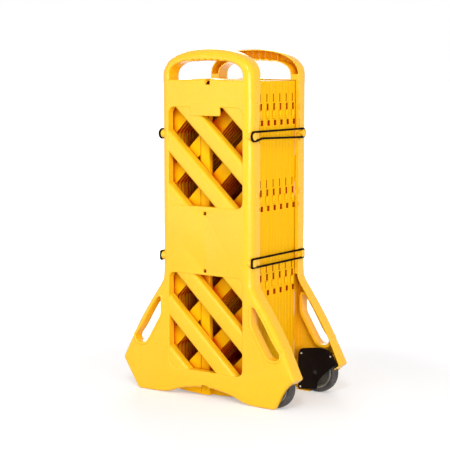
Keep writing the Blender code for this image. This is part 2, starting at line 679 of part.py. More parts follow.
def hinge_leaf(panel, side, plane, before):
    """Gives a panel its knuckles at one side: those in front of the contact plane, or those behind it."""
    edge = side * HINGE_X
    inner, outer = sorted((edge - side * NOTCH, edge + side * (KNUCKLE_RADIUS + OVERRUN)))
    knuckles, notches, extras = [], [], []
    for height in HINGE_HEIGHTS:
        split = height - KNUCKLE_GAP
        if before:
            low, high = split - LOWER_KNUCKLE, height
            notch = (plane - NOTCH, plane + KNUCKLE_RADIUS + OVERRUN,
                     split, height + UPPER_KNUCKLE + SLOT_LENGTH)
            extras.append(upright("socket", edge, plane, low + PIN_FLOOR, height,
                                  bore(PIN_RADIUS, PIN_SIDES), PIN_SIDES))
        else:
            low, high = split, height + UPPER_KNUCKLE
            notch = (plane - KNUCKLE_RADIUS - OVERRUN, plane + SQUARE_WIDTH,
                     split - LOWER_KNUCKLE - SQUARE_LENGTH, height)
            extras.append(upright("pin", edge, plane, split - LOWER_KNUCKLE + PIN_FLOOR + KNUCKLE_GAP,
                                  height + PIN_RADIUS, PIN_RADIUS, PIN_SIDES))
        knuckles.append(upright("knuckle", edge, plane, low, high, KNUCKLE_RADIUS, KNUCKLE_SIDES))
        near, far, start, end = notch
        notches.append(box("notch", (inner, near, start), (outer, far, end)))
    join(panel, *knuckles)
    cut(panel, *notches)
    return cut(panel, *extras) if before else join(panel, *extras)


def half_panel(front, before):
    """A half panel between the barrier's left side and its centre line, with its centre knuckles."""
    middle = front + PANEL_THICKNESS / 2
    edge = -CENTRE_RADIUS - TURN_GAP
    panel = tray(front, -PANEL_HALF, edge, -WINDOW_HALF, -STILE, before)
    knuckles, holes = [], []
    for low, high in CENTRE_SPANS.values():
        start, end = low + CENTRE_EAR + KNUCKLE_GAP, high - CENTRE_EAR - KNUCKLE_GAP
        knuckles.append(box("bridge", (edge - PANEL_RIM / 2, middle - CENTRE_RADIUS, start),
                            (-CENTRE_RADIUS / 2, middle + CENTRE_RADIUS, end)))
        knuckles.append(upright("centre knuckle", 0, middle, start, end, CENTRE_RADIUS, CENTRE_SIDES))
        holes.append(upright("pin hole", 0, middle, start - OVERRUN, end + OVERRUN,
                             bore(CENTRE_PIN_RADIUS, PIN_SIDES), PIN_SIDES))
    join(panel, *knuckles)
    cut(panel, *holes)
    plane = front + PANEL_THICKNESS + PANEL_GAP / 2 if before else front - PANEL_GAP / 2
    return hinge_leaf(panel, -1, plane, before)


def lathed(name, profile, depth):
    """A ring about the wheel's axle, from a closed profile of radius and offset along the axle."""
    rings = []
    for i in range(WHEEL_SIDES):
        turn = 2 * math.pi * (i + 1 / 2) / WHEEL_SIDES
        across, up = math.cos(turn), math.sin(turn)
        rings.append([
            (WHEEL_X + radius * across, FRONT_FACE + depth + offset, WHEEL_RADIUS + radius * up)
            for radius, offset in profile
        ])
    return looped(name, rings)


def tyre():
    """The tyre of the front wheel, its polygon's flats on the floor."""
    reach = WHEEL_RADIUS / math.cos(math.pi / WHEEL_SIDES)
    wall = reach - HUB_RADIUS
    half = WHEEL_WIDTH / 2
    side = [(HUB_RADIUS + wall * up, half * out) for up, out in TREAD_SHARES]
    return lathed("tyre", side + [(radius, -offset) for radius, offset in reversed(side)], WHEEL_DEPTH)


def hub():
    """The dished hub of the front wheel, with its bore."""
    rim = HUB_RADIUS - SEAT_GAP
    side = [(rim, HUB_HALF)] + [(rim * up, HUB_HALF * out) for up, out in DISH_SHARES]
    side.append((AXLE_RADIUS + SLIDE_GAP, HUB_HALF * DISH_SHARES[-1][1]))
    return lathed("hub", side + [(radius, -offset) for radius, offset in reversed(side)], WHEEL_DEPTH)


def axle():
    """The axle bolt of the front wheel, its head on the cover."""
    seat = FRONT_FACE + COVER_DEPTH + COVER_THICKNESS + SEAT_GAP
    bolt = rod("axle", WHEEL_X, WHEEL_RADIUS, FRONT_FACE + AXLE_SEAT + SEAT_GAP, seat + AXLE_HEAD / 2,
               AXLE_RADIUS, AXLE_SIDES)
    return join(bolt, rod("head", WHEEL_X, WHEEL_RADIUS, seat, seat + AXLE_HEAD,
                          AXLE_HEAD_RADIUS, AXLE_HEAD_SIDES))


def cover():
    """The plate that covers the front wheel from inside."""
    outline = [(WHEEL_X + WHEEL_RADIUS * across, WHEEL_RADIUS * (1 + up)) for across, up in COVER_SHARES]
    front = FRONT_FACE + COVER_DEPTH
    plate = prism("cover", outline, front, front + COVER_THICKNESS)
    holes = [rod("hole", x, z, front - OVERRUN, front + COVER_THICKNESS + OVERRUN,
                 SCREW_RADIUS + SLIDE_GAP, SCREW_SIDES) for x, z in cover_screw_places()]
    holes.append(rod("axle hole", WHEEL_X, WHEEL_RADIUS, front - OVERRUN, front + COVER_THICKNESS + OVERRUN,
                     AXLE_RADIUS + SLIDE_GAP, AXLE_SIDES))
    return cut(plate, *holes)


def cover_screw(x, z):
    """One screw of the front wheel cover."""
    seat = FRONT_FACE + COVER_DEPTH + COVER_THICKNESS + SEAT_GAP
    shank = rod("screw", x, z, seat + SEAT_GAP - SCREW_LENGTH, seat + SCREW_HEAD / 2,
                SCREW_RADIUS, SCREW_SIDES)
    return join(shank, rod("head", x, z, seat, seat + SCREW_HEAD, SCREW_HEAD_RADIUS, SCREW_SIDES))


def button(side, height, depth, square):
    """A cord button on the front frame's side: a stem that the cord lies round, a cap and a peg."""
    y = FRONT_FACE + depth
    seat = HALF_BODY + SEAT_GAP
    lip = seat + 2 * (CORD_RADIUS + CORD_GAP)
    peg = crosswise("peg", y, height, side * (seat - PEG_LENGTH), side * (seat + CORD_RADIUS),
                    PEG_RADIUS, PEG_SIDES)
    if square:
        across, up = BLOCK_WIDTH / 2, BLOCK_HEIGHT / 2
        stem = box("stem", (min(side * seat, side * (lip + BUTTON_CAP / 2)), y - across, height - up),
                   (max(side * seat, side * (lip + BUTTON_CAP / 2)), y + across, height + up))
        cap = box("cap", (min(side * lip, side * (lip + BUTTON_CAP)), y - across - BUTTON_FLANGE,
                          height - up - BUTTON_FLANGE),
                  (max(side * lip, side * (lip + BUTTON_CAP)), y + across + BUTTON_FLANGE,
                   height + up + BUTTON_FLANGE))
    else:
        stem = crosswise("stem", y, height, side * seat, side * (lip + BUTTON_CAP / 2),
                         BUTTON_RADIUS, BUTTON_SIDES)
        cap = crosswise("cap", y, height, side * lip, side * (lip + BUTTON_CAP),
                        BUTTON_RADIUS + BUTTON_FLANGE, BUTTON_SIDES)
    return join(stem, cap, peg)


def loop(side, height, square):
    """A closed elastic cord from a front button to the rear button behind it."""
    x = side * (HALF_BODY + SEAT_GAP + CORD_GAP + CORD_RADIUS)
    clear = CORD_RADIUS + CORD_GAP
    if square:
        reach, half, bend = BLOCK_WIDTH / 2 + clear, BLOCK_HEIGHT / 2 + clear, BLOCK_BEND
    else:
        reach = half = bend = BUTTON_RADIUS + clear
    front, back = FRONT_FACE + FRONT_BUTTON - reach, -FRONT_FACE - REAR_BUTTON + reach
    path = []
    for y, z, start in ((back, -half, -1 / 2), (back, half, 0), (front, half, 1 / 2), (front, -half, 1)):
        cy, cz = y + (-bend if y == back else bend), z + (-bend if z > 0 else bend)
        steps = BEND_STEPS // 2
        for step in range(steps + 1):
            turn = math.pi * (start + step / steps / 2)
            spot = (cy + bend * math.cos(turn), height + cz + bend * math.sin(turn))
            if not path or math.dist(spot, path[-1]) > CORD_GAP:
                path.append(spot)
    if math.dist(path[0], path[-1]) <= CORD_GAP:
        path.pop()
    around = circle(CORD_RADIUS, CORD_SIDES)
    rings = []
    for i, (y, z) in enumerate(path):
        (y0, z0), (y1, z1) = path[i - 1], path[(i + 1) % len(path)]
        length = math.hypot(y1 - y0, z1 - z0)
        across = ((z1 - z0) / length, -(y1 - y0) / length)
        rings.append([(x + a, y + across[0] * b, z + across[1] * b) for a, b in around])
    return looped("loop", rings)


def build():
    """Makes every piece, in the order from the front of the barrier to the rear."""
    wheel_axis = (WHEEL_X, FRONT_FACE + WHEEL_DEPTH, WHEEL_RADIUS)
    rear_wheel_axis = (WHEEL_X, -FRONT_FACE - WHEEL_DEPTH, WHEEL_RADIUS)
    frame = end_frame()
    finished(with_peg_holes(mirrored(frame, "rear"), "rear"), "rear_frame", YELLOW, (0, -CENTRE_AXIS, 0))
    finished(with_peg_holes(frame, "front"), "front_frame", YELLOW)
    sources = [
        ("tyre", tyre(), RUBBER, wheel_axis, rear_wheel_axis),
        ("hub", hub(), HUB_GREY, wheel_axis, rear_wheel_axis),
        ("axle", axle(), STEEL, (0, 0, 0), (0, -CENTRE_AXIS, 0)),
        ("wheel_cover", cover(), BLACK, (0, 0, 0), (0, -CENTRE_AXIS, 0)),
    ]
    for number, (x, z) in enumerate(cover_screw_places(), 1):
        sources.append((f"cover_screw_{number}", cover_screw(x, z), STEEL, (0, 0, 0), (0, -CENTRE_AXIS, 0)))
    for place, (low, high) in CENTRE_SPANS.items():
        pin = upright("pin", 0, CENTRE_AXIS, low - SEAT_GAP - PIN_HEAD_LENGTH / 2, high,
                      CENTRE_PIN_RADIUS, PIN_SIDES)
        head = upright("head", 0, CENTRE_AXIS, low - SEAT_GAP - PIN_HEAD_LENGTH, low - SEAT_GAP,
                       CENTRE_PIN_HEAD, PIN_SIDES)
        sources.append((f"{place}_centre_pin", join(pin, head), STEEL, (0, 0, 0), (0, -CENTRE_AXIS, 0)))
    for name, piece, finish, origin, rear_origin in sources:
        finished(mirrored(piece, name), f"rear_{name}", finish, rear_origin)
        finished(piece, f"front_{name}", finish, origin)

    front = FRONT_FACE + FRAME_DEPTH - PANEL_PITCH + PANEL_GAP / 2
    finished(half_panel(front, True), "front_half_panel", AMBER, (0, CENTRE_AXIS, 0))
    made = {}
    for number in range(1, PANEL_COUNT + 1):
        side = -1 if number % 2 else 1
        plate_first = number <= PANEL_COUNT / 2
        start = FRONT_FACE + FRAME_DEPTH
        if (side, plate_first) not in made:
            panel = tray(start + PANEL_GAP / 2, -PANEL_HALF, PANEL_HALF,
                         -WINDOW_HALF, WINDOW_HALF, plate_first)
            hinge_leaf(panel, side, start, False)
            hinge_leaf(panel, -side, start + PANEL_PITCH, True)
            finished(panel, "panel", AMBER, (side * HINGE_X, start, 0))
            made[side, plate_first] = panel
        source = made[side, plate_first]
        panel = bpy.data.objects.new(f"panel_{number:02d}", source.data.copy())
        bpy.context.scene.collection.objects.link(panel)
        panel.data.materials.clear()
        panel.data.materials.append(material(panel.name, AMBER))
        panel.location = (side * HINGE_X, start + PANEL_PITCH * (number - 1), 0)
    for source in made.values():
        bpy.data.objects.remove(source, do_unlink=True)
    start = -FRONT_FACE - FRAME_DEPTH
    finished(half_panel(start + PANEL_GAP / 2, False), "rear_half_panel", AMBER, (-HINGE_X, start, 0))

    for name, side, height, depth, end in button_places():
        piece = button(side, height, depth, height == LOWER_LOOP)
        if end == "rear":
            front_piece = piece
            piece = mirrored(piece, name)
            bpy.data.objects.remove(front_piece, do_unlink=True)
            finished(piece, name, YELLOW, (0, -CENTRE_AXIS, 0))
        else:
            finished(piece, name, YELLOW)
    for side_name, side in (("right", 1), ("left", -1)):
        for height_name, height in (("upper", UPPER_LOOP), ("lower", LOWER_LOOP)):
            finished(loop(side, height, height == LOWER_LOOP), f"{height_name}_{side_name}_loop", BLACK)


build()
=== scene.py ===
"""Expandable safety barrier, folded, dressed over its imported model.

Two moulded end frames hold a concertina of grille panels between them. The frames, panels, wheels, covers,
screws, cord buttons and elastic loops are built here in full detail, each over its node of the model.
Metres, +Z up, the front end frame facing -Y, the origin on the floor at the middle of the folded barrier.
"""

from __future__ import annotations

import json
import logging
import math
import sys
from collections.abc import Sequence
from dataclasses import dataclass, field
from enum import Enum

import bmesh
import bpy
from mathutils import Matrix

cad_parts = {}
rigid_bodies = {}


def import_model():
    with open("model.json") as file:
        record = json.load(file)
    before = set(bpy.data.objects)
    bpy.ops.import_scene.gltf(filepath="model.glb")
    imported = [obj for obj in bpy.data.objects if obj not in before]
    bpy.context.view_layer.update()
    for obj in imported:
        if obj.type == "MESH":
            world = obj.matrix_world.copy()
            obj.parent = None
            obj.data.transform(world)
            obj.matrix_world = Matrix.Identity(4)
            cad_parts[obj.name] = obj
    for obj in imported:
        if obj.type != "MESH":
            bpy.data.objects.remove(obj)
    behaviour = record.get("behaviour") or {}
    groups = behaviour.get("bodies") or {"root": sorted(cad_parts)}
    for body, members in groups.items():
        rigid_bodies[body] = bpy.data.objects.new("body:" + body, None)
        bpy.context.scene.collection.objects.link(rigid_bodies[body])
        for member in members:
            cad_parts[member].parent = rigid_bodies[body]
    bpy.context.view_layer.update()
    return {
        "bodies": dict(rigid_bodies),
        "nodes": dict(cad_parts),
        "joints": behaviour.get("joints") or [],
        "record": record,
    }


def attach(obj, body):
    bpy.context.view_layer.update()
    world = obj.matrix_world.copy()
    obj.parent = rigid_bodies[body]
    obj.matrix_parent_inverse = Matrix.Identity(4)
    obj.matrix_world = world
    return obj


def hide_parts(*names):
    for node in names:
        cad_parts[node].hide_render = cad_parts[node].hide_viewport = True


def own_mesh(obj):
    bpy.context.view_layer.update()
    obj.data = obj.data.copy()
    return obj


LOG = logging.getLogger("barrier")

PAST = 0.006  # How far a cutter reaches beyond what it opens, in metres.

Spot = tuple[float, float]  # A place in two coordinates.
Point = tuple[float, float, float]
Span = tuple[float, float]  # A range, from its start to its end.
Colour = tuple[float, float, float, float]
Noise = tuple[float, float] | tuple[float, float, Point]  # Scale, detail and, where it has one, stretch.

WHITE = (1.0, 1.0, 1.0, 1.0)
BLACK = (0.0, 0.0, 0.0, 1.0)


class End(Enum):
    """The two ends of the folded barrier, with the sign of the direction that each faces along Y."""

    FRONT = -1
    REAR = 1

    @property
    def word(self) -> str:
        """The end's name as the nodes carry it."""
        return self.name.lower()


class Side(Enum):
    """The barrier's sides, seen from its front, with the sign of X."""

    RIGHT = 1
    LEFT = -1

    @property
    def word(self) -> str:
        """The side's name as the nodes carry it."""
        return self.name.lower()


class Cut(Enum):
    """The Boolean operations that shape a moulding."""

    AWAY = "DIFFERENCE"
    ONTO = "UNION"
    WITHIN = "INTERSECT"


class Leaf(Enum):
    """Where a panel's knuckles lie: in front of the plane between two panels, or behind it."""

    BEFORE = "before"
    BEHIND = "behind"


# Mesh making


def linked(name: str, data: bpy.types.ID) -> bpy.types.Object:
    """Makes an object of some data and links it to the scene.

    Args:
        name: The object's name.
        data: The mesh, camera or lamp that it shows.

    Returns:
        The new object.
    """
    made = bpy.data.objects.new(name, data)
    bpy.context.scene.collection.objects.link(made)
    return made


def solid(name: str, points: Sequence[Point], faces: Sequence[Sequence[int]]) -> bpy.types.Object:
    """Makes a mesh object with its faces turned outwards.

    Args:
        name: The object's name.
        points: The vertices, in metres.
        faces: The vertex numbers of each face.

    Returns:
        The new object, linked to the scene.
    """
    mesh = bpy.data.meshes.new(name)
    mesh.from_pydata(points, [], faces)
    shape = bmesh.new()
    shape.from_mesh(mesh)
    bmesh.ops.recalc_face_normals(shape, faces=shape.faces)
    shape.to_mesh(mesh)
    shape.free()
    return linked(name, mesh)


def stacked(name: str, rings: Sequence[Sequence[Point]]) -> bpy.types.Object:
    """Makes a closed solid through rings of equally many points, with a face on the first and the last.

    Args:
        name: The object's name.
        rings: The rings, from one end of the solid to the other.

    Returns:
        The new object.
    """
    count = len(rings[0])
    points = [point for ring in rings for point in ring]
    faces = [tuple(range(count)), tuple(range((len(rings) - 1) * count, len(rings) * count))]
    for ring in range(len(rings) - 1):
        for i in range(count):
            j = (i + 1) % count
            faces.append((ring * count + i, ring * count + j, (ring + 1) * count + j, (ring + 1) * count + i))
    return solid(name, points, faces)


def looped(name: str, rings: Sequence[Sequence[Point]]) -> bpy.types.Object:
    """Makes a closed ring-shaped solid through rings of equally many points, the last joined to the first.

    Args:
        name: The object's name.
        rings: The rings, in order round the loop.

    Returns:
        The new object.
    """
    count, laps = len(rings[0]), len(rings)
    points = [point for ring in rings for point in ring]
    faces = []
    for ring in range(laps):
        after = (ring + 1) % laps
        for i in range(count):
            j = (i + 1) % count
            faces.append((ring * count + i, ring * count + j, after * count + j, after * count + i))
    return solid(name, points, faces)


def inset(outline: Sequence[Spot], distances: Sequence[float]) -> list[Spot]:
    """Draws each corner of an outline in by its distance.

    Args:
        outline: The corners, counterclockwise in x and z.
        distances: How far each corner moves in, or out where it is negative.

    Returns:
        The moved corners.
    """
    drawn = []
    for i, (x, z) in enumerate(outline):
        before, after = outline[i - 1], outline[(i + 1) % len(outline)]
        normals = []
        for (x0, z0), (x1, z1) in ((before, (x, z)), ((x, z), after)):
            length = math.hypot(x1 - x0, z1 - z0)
            normals.append((-(z1 - z0) / length, (x1 - x0) / length))
        (ax, az), (bx, bz) = normals
        share = distances[i] / (1 + ax * bx + az * bz)
        drawn.append((x + (ax + bx) * share, z + (az + bz) * share))
    return drawn


def eased(outline: Sequence[Spot], reach: float, steps: int) -> list[Spot]:
    """Turns each corner of an outline into a short curve.

    Args:
        outline: The corners, counterclockwise in x and z.
        reach: How far from a sharp corner its curve starts at most. A slight bend may take more.
        steps: The number of pieces in each curve.

    Returns:
        The eased outline.
    """
    slight, half_edge = math.radians(28), 0.45
    curve = []
    for i, (x, z) in enumerate(outline):
        (bx, bz), (ax, az) = outline[i - 1], outline[(i + 1) % len(outline)]
        back, on = math.hypot(bx - x, bz - z), math.hypot(ax - x, az - z)
        turn = abs(math.remainder(math.atan2(az - z, ax - x) - math.atan2(z - bz, x - bx), 2 * math.pi))
        most = math.inf if turn < slight else reach
        start, end = min(most, half_edge * back), min(most, half_edge * on)
        first = (x + (bx - x) * start / back, z + (bz - z) * start / back)
        last = (x + (ax - x) * end / on, z + (az - z) * end / on)
        for step in range(steps + 1):
            t = step / steps
            weights = ((1 - t) ** 2, 2 * t * (1 - t), t ** 2)
            curve.append(tuple(sum(w * p[k] for w, p in zip(weights, (first, (x, z), last))) for k in (0, 1)))
    return curve


def prism(name: str, outline: Sequence[Spot], front: float, back: float) -> bpy.types.Object:
    """Extrudes an outline along y.

    Args:
        name: The object's name.
        outline: The corners in x and z.
        front: The nearer end in y.
        back: The farther end in y.

    Returns:
        The new object.
    """
    return stacked(name, [[(x, y, z) for x, z in outline] for y in (front, back)])


def rounded_prism(
    name: str, outline: Sequence[Spot], front: float, back: float, rounds: Sequence[float],
    back_rounds: Sequence[float] | None = None, steps: int = 6,
) -> bpy.types.Object:
    """Extrudes an outline along y, with its edges rounded by a radius for each corner.

    Args:
        name: The object's name.
        outline: The corners, counterclockwise in x and z.
        front: The nearer end in y.
        back: The farther end in y.
        rounds: The radius of the front edge at each corner.
        back_rounds: The radius of the back edge at each corner, or None for a sharp back edge.
        steps: The number of pieces in each rounding.

    Returns:
        The new object.
    """
    rings = []
    for step in range(steps, -1, -1):
        turn = math.pi / 2 * step / steps
        drawn = inset(outline, [radius * (1 - math.cos(turn)) for radius in rounds])
        rings.append([(x, front + r * (1 - math.sin(turn)), z) for (x, z), r in zip(drawn, rounds)])
    if back_rounds is None:
        rings.append([(x, back, z) for x, z in outline])
        return stacked(name, rings)
    for step in range(steps + 1):
        turn = math.pi / 2 * step / steps
        drawn = inset(outline, [radius * (1 - math.cos(turn)) for radius in back_rounds])
        rings.append([(x, back - r * (1 - math.sin(turn)), z) for (x, z), r in zip(drawn, back_rounds)])
    return stacked(name, rings)


def flared(
    name: str, outline: Sequence[Spot], front: float, back: float, radius: float, both: bool = False,
    steps: int = 5,
) -> bpy.types.Object:
    """Makes a cutter that leaves the front edge of its opening rounded, and the back edge too if asked.

    Args:
        name: The object's name.
        outline: The opening's corners, counterclockwise in x and z.
        front: The face that the opening starts from, in y.
        back: The end of the opening in y.
        radius: The radius of the rounded edge.
        both: Whether the back edge is rounded as well.
        steps: The number of pieces in each rounding.

    Returns:
        The cutter.
    """
    turns = [math.pi / 2 * step / steps for step in range(steps, -1, -1)]
    levels = [(radius, front - PAST)]
    levels += [(radius * (1 - math.cos(turn)), front + radius * (1 - math.sin(turn))) for turn in turns]
    levels += [(out, front + back - y) for out, y in reversed(levels)] if both else [(0.0, back)]
    return stacked(name, [[(x, y, z) for x, z in inset(outline, [-out] * len(outline))] for out, y in levels])


def box(name: str, low: Point, high: Point) -> bpy.types.Object:
    """Makes a box between two corners."""
    (x0, y0, z0), (x1, y1, z1) = low, high
    return prism(name, [(x0, z0), (x1, z0), (x1, z1), (x0, z1)], y0, y1)


def circle(radius: float, sides: int) -> list[Spot]:
    """Places points on a circle about the origin, the first one half a step from its start.

    Args:
        radius: The circle's radius.
        sides: The number of points.

    Returns:
        The points, counterclockwise.
    """
    turns = [math.tau * (i + 0.5) / sides for i in range(sides)]
    return [(radius * math.cos(turn), radius * math.sin(turn)) for turn in turns]


class Axis(Enum):
    """The direction that a turned piece lies in."""

    X = 0
    Y = 1
    Z = 2


def turned(name: str, axis: Axis, centre: Spot, profile: Sequence[Spot], sides: int = 32) -> bpy.types.Object:
    """Makes a turned solid, such as a pin, a screw or a button.

    Args:
        name: The object's name.
        axis: The direction of its centre line.
        centre: The centre line's place in the other two coordinates, in their order.
        profile: Pairs of place along the axis and radius, from one end to the other.
        sides: The number of points round it.

    Returns:
        The new object.
    """
    rings = []
    for along, radius in profile:
        ring = []
        for a, b in circle(radius, sides):
            spot = [centre[0] + a, centre[1] + b]
            spot.insert(axis.value, along)
            ring.append(tuple(spot))
        rings.append(ring)
    return stacked(name, rings)


def rod(
    name: str, axis: Axis, centre: Spot, start: float, end: float, radius: float, sides: int = 24,
) -> bpy.types.Object:
    """Makes a plain cylinder between two places along its axis."""
    return turned(name, axis, centre, [(start, radius), (end, radius)], sides)


def rounded_rectangle(half: float, low: float, high: float, radius: float, steps: int = 5) -> list[Spot]:
    """Draws a rectangle about x = 0 with rounded corners.

    Args:
        half: Half of its width.
        low: Its lower edge in z.
        high: Its upper edge in z.
        radius: The radius of its corners.
        steps: The number of pieces in each corner.

    Returns:
        The corners, counterclockwise.
    """
    outline = []
    for x, z, turn in ((half, low, -1 / 2), (half, high, 0), (-half, high, 1 / 2), (-half, low, 1)):
        cx, cz = x - math.copysign(radius, x), z + (radius if z == low else -radius)
        for step in range(steps + 1):
            angle = math.pi * (turn + step / steps / 2)
            outline.append((cx + radius * math.cos(angle), cz + radius * math.sin(angle)))
    return outline


def clipped(outline: Sequence[Spot], low_x: float, high_x: float, low_z: float, high_z: float) -> list[Spot]:
    """Keeps the part of a convex outline that lies inside a rectangle.

    Args:
        outline: The corners in x and z.
        low_x: The rectangle's left edge.
        high_x: The rectangle's right edge.
        low_z: The rectangle's lower edge.
        high_z: The rectangle's upper edge.

    Returns:
        The corners that are left.
    """
    for axis, limit, sign in ((0, low_x, 1), (0, high_x, -1), (1, low_z, 1), (1, high_z, -1)):
        kept = []
        for i, point in enumerate(outline):
            before = outline[i - 1]
            now, was = sign * (point[axis] - limit), sign * (before[axis] - limit)
            if (now >= 0) != (was >= 0):
                share = was / (was - now)
                kept.append(tuple(b + (p - b) * share for b, p in zip(before, point)))
            if now >= 0:
                kept.append(point)
        outline = kept
    return list(outline)


def band(centre: float, slope: float, rise: float, reach: float) -> list[Spot]:
    """Draws a diagonal band that crosses x = 0 at a height.

    Args:
        centre: The height at which its middle crosses x = 0.
        slope: Its rise for each metre in x.
        rise: Its height, measured upright.
        reach: How far it goes to each side.

    Returns:
        The corners, counterclockwise.
    """
    low, high = centre - rise / 2, centre + rise / 2
    return [(-reach, low - slope * reach), (reach, low + slope * reach),
            (reach, high + slope * reach), (-reach, high - slope * reach)]


def shaped(target: bpy.types.Object, how: Cut, *tools: bpy.types.Object) -> bpy.types.Object:
    """Applies an exact Boolean with each tool in turn, and removes the tools.

    Args:
        target: The moulding to shape.
        how: The operation.
        tools: The objects that it is shaped with.

    Returns:
        The target.
    """
    for tool in tools:
        modifier = target.modifiers.new(tool.name, "BOOLEAN")
        modifier.operation = how.value
        modifier.solver = "EXACT"
        modifier.object = tool
    result = bpy.data.meshes.new_from_object(target.evaluated_get(bpy.context.evaluated_depsgraph_get()))
    target.modifiers.clear()
    target.data = result
    for tool in tools:
        bpy.data.objects.remove(tool, do_unlink=True)
    return target


def mirrored(piece: bpy.types.Object, name: str) -> bpy.types.Object:
    """Copies a piece to the other end of the barrier.

    Args:
        piece: The piece to copy.
        name: The copy's name.

    Returns:
        The copy.
    """
    made = linked(name, piece.data.copy())
    for vertex in made.data.vertices:
        vertex.co.y = -vertex.co.y
    made.data.flip_normals()
    return made


def smooth(piece: bpy.types.Object, angle: float = 32.0) -> bpy.types.Object:
    """Shades a piece smooth, except along its sharper edges.

    Args:
        piece: The piece.
        angle: The angle in degrees from which an edge stays sharp.

    Returns:
        The piece.
    """
    piece.data.shade_smooth()
    piece.data.set_sharp_from_angle(angle=math.radians(angle))
    return piece


def coated(piece: bpy.types.Object, *materials: bpy.types.Material) -> bpy.types.Object:
    """Gives a piece its materials in place of any others.

    Args:
        piece: The piece.
        materials: The materials, in the order of the faces' material numbers.

    Returns:
        The piece.
    """
    piece.data.materials.clear()
    for material in materials:
        piece.data.materials.append(material)
    return piece


# Finishes


def grey(value: float) -> Colour:
    """Makes a neutral colour of the given value."""
    return (value, value, value, 1.0)


class Graph:
    """A material's node graph in the making."""

    noise_middle: Span = (0.3, 0.7)

    def __init__(self, name: str) -> None:
        """Starts a material that holds only its output and a Principled shader.

        Args:
            name: The material's name.
        """
        self.material = bpy.data.materials.new(name)
        self.material.use_nodes = True
        self.tree = self.material.node_tree
        self.shader = self.tree.nodes["Principled BSDF"]

    def add(self, kind: str, **settings: object) -> bpy.types.Node:
        """Adds a node.

        Args:
            kind: The node's type, without its ShaderNode prefix.
            settings: Attributes of the node, or inputs where the name starts with in_.

        Returns:
            The node.
        """
        node = self.tree.nodes.new("ShaderNode" + kind)
        for name, value in settings.items():
            if name.startswith("in_"):
                node.inputs[name[3:].replace("_", " ")].default_value = value
            else:
                setattr(node, name, value)
        return node

    def join(self, source: bpy.types.NodeSocket, target: bpy.types.NodeSocket) -> None:
        """Links one socket to another."""
        self.tree.links.new(source, target)

    def noise(self, scale: float, detail: float, stretch: Point = (1, 1, 1)) -> bpy.types.NodeSocket:
        """Adds a noise over the piece's own coordinates.

        Args:
            scale: How many cells lie in a metre.
            detail: The number of finer layers.
            stretch: How much denser the noise is along each axis.

        Returns:
            The noise's value.
        """
        place = self.add("TexCoord")
        mapping = self.add("Mapping", in_Scale=stretch)
        self.join(place.outputs["Object"], mapping.inputs["Vector"])
        noise = self.add("TexNoise", in_Scale=scale, in_Detail=detail)
        self.join(mapping.outputs["Vector"], noise.inputs["Vector"])
        return noise.outputs["Fac"]

    def ramp(
        self, source: bpy.types.NodeSocket, stops: Span, first: Colour, last: Colour,
    ) -> bpy.types.NodeSocket:
        """Turns a value into a colour between two.

        Args:
            source: The value.
            stops: The values, from 0 to 1, at which the two colours are reached.
            first: The colour at the first value and below it.
            last: The colour at the second value and above it.

        Returns:
            The colour.
        """
        ramp = self.add("ValToRGB")
        for i, (place, colour) in enumerate(zip(stops, (first, last))):
            element = ramp.color_ramp.elements[i]
            element.position, element.color = place, colour
        self.join(source, ramp.inputs["Fac"])
        return ramp.outputs["Color"]

    def reckoned(
        self, operation: str, first: bpy.types.NodeSocket, second: bpy.types.NodeSocket,
    ) -> bpy.types.NodeSocket:
        """Combines two values.

        Args:
            operation: Blender's word for what is done with them.
            first: The first value.
            second: The second value.

        Returns:
            The result.
        """
        node = self.add("Math", operation=operation)
        self.join(first, node.inputs[0])
        self.join(second, node.inputs[1])
        return node.outputs[0]

    def ranged(self, source: bpy.types.NodeSocket, low: float, high: float) -> bpy.types.NodeSocket:
        """Spreads the middle of a noise over a range of values.

        Args:
            source: The noise.
            low: The lowest value.
            high: The highest value.

        Returns:
            The spread value.
        """
        spread = self.add("MapRange")
        start, end = self.noise_middle
        for name, value in (("From Min", start), ("From Max", end), ("To Min", low), ("To Max", high)):
            spread.inputs[name].default_value = value
        self.join(source, spread.inputs["Value"])
        return spread.outputs["Result"]

    def mixed(self, share: bpy.types.NodeSocket | float, first: bpy.types.NodeSocket,
              second: bpy.types.NodeSocket | Colour, blend: str = "MIX") -> bpy.types.NodeSocket:
        """Mixes two colours.

        Args:
            share: How much of the second colour shows.
            first: The first colour.
            second: The second colour.
            blend: Blender's word for the way they mix.

        Returns:
            The mixed colour.
        """
        mix = self.add("Mix", data_type="RGBA", blend_type=blend)
        factor, a, b = mix.inputs[0], mix.inputs[6], mix.inputs[7]
        for value, socket in ((share, factor), (first, a), (second, b)):
            if isinstance(value, bpy.types.NodeSocket):
                self.join(value, socket)
            else:
                socket.default_value = value
        return mix.outputs[2]

    def times(self, first: bpy.types.NodeSocket, second: bpy.types.NodeSocket) -> bpy.types.NodeSocket:
        """Multiplies two colours."""
        return self.mixed(1.0, first, second, "MULTIPLY")

    def bumped(self, layers: Sequence[tuple[bpy.types.NodeSocket, float]]) -> None:
        """Raises the surface by one or more height values.

        Args:
            layers: Pairs of a height from 0 to 1 and what it is worth in metres.
        """
        before = None
        for height, distance in layers:
            bump = self.add("Bump", in_Distance=distance, in_Strength=1.0)
            self.join(height, bump.inputs["Height"])
            if before is not None:
                self.join(before, bump.inputs["Normal"])
            before = bump.outputs["Normal"]
        self.join(before, self.shader.inputs["Normal"])


@dataclass(frozen=True)
class Crevice:
    """Painted shade and bounce light: how a finish darkens and warms where other surfaces hem it in.

    The reach is how far those surfaces count. The shade is full where the surface is no more open than closed
    says, and gone where it is as open as clear says.
    """

    reach: float
    closed: float
    clear: float
    shade: Colour


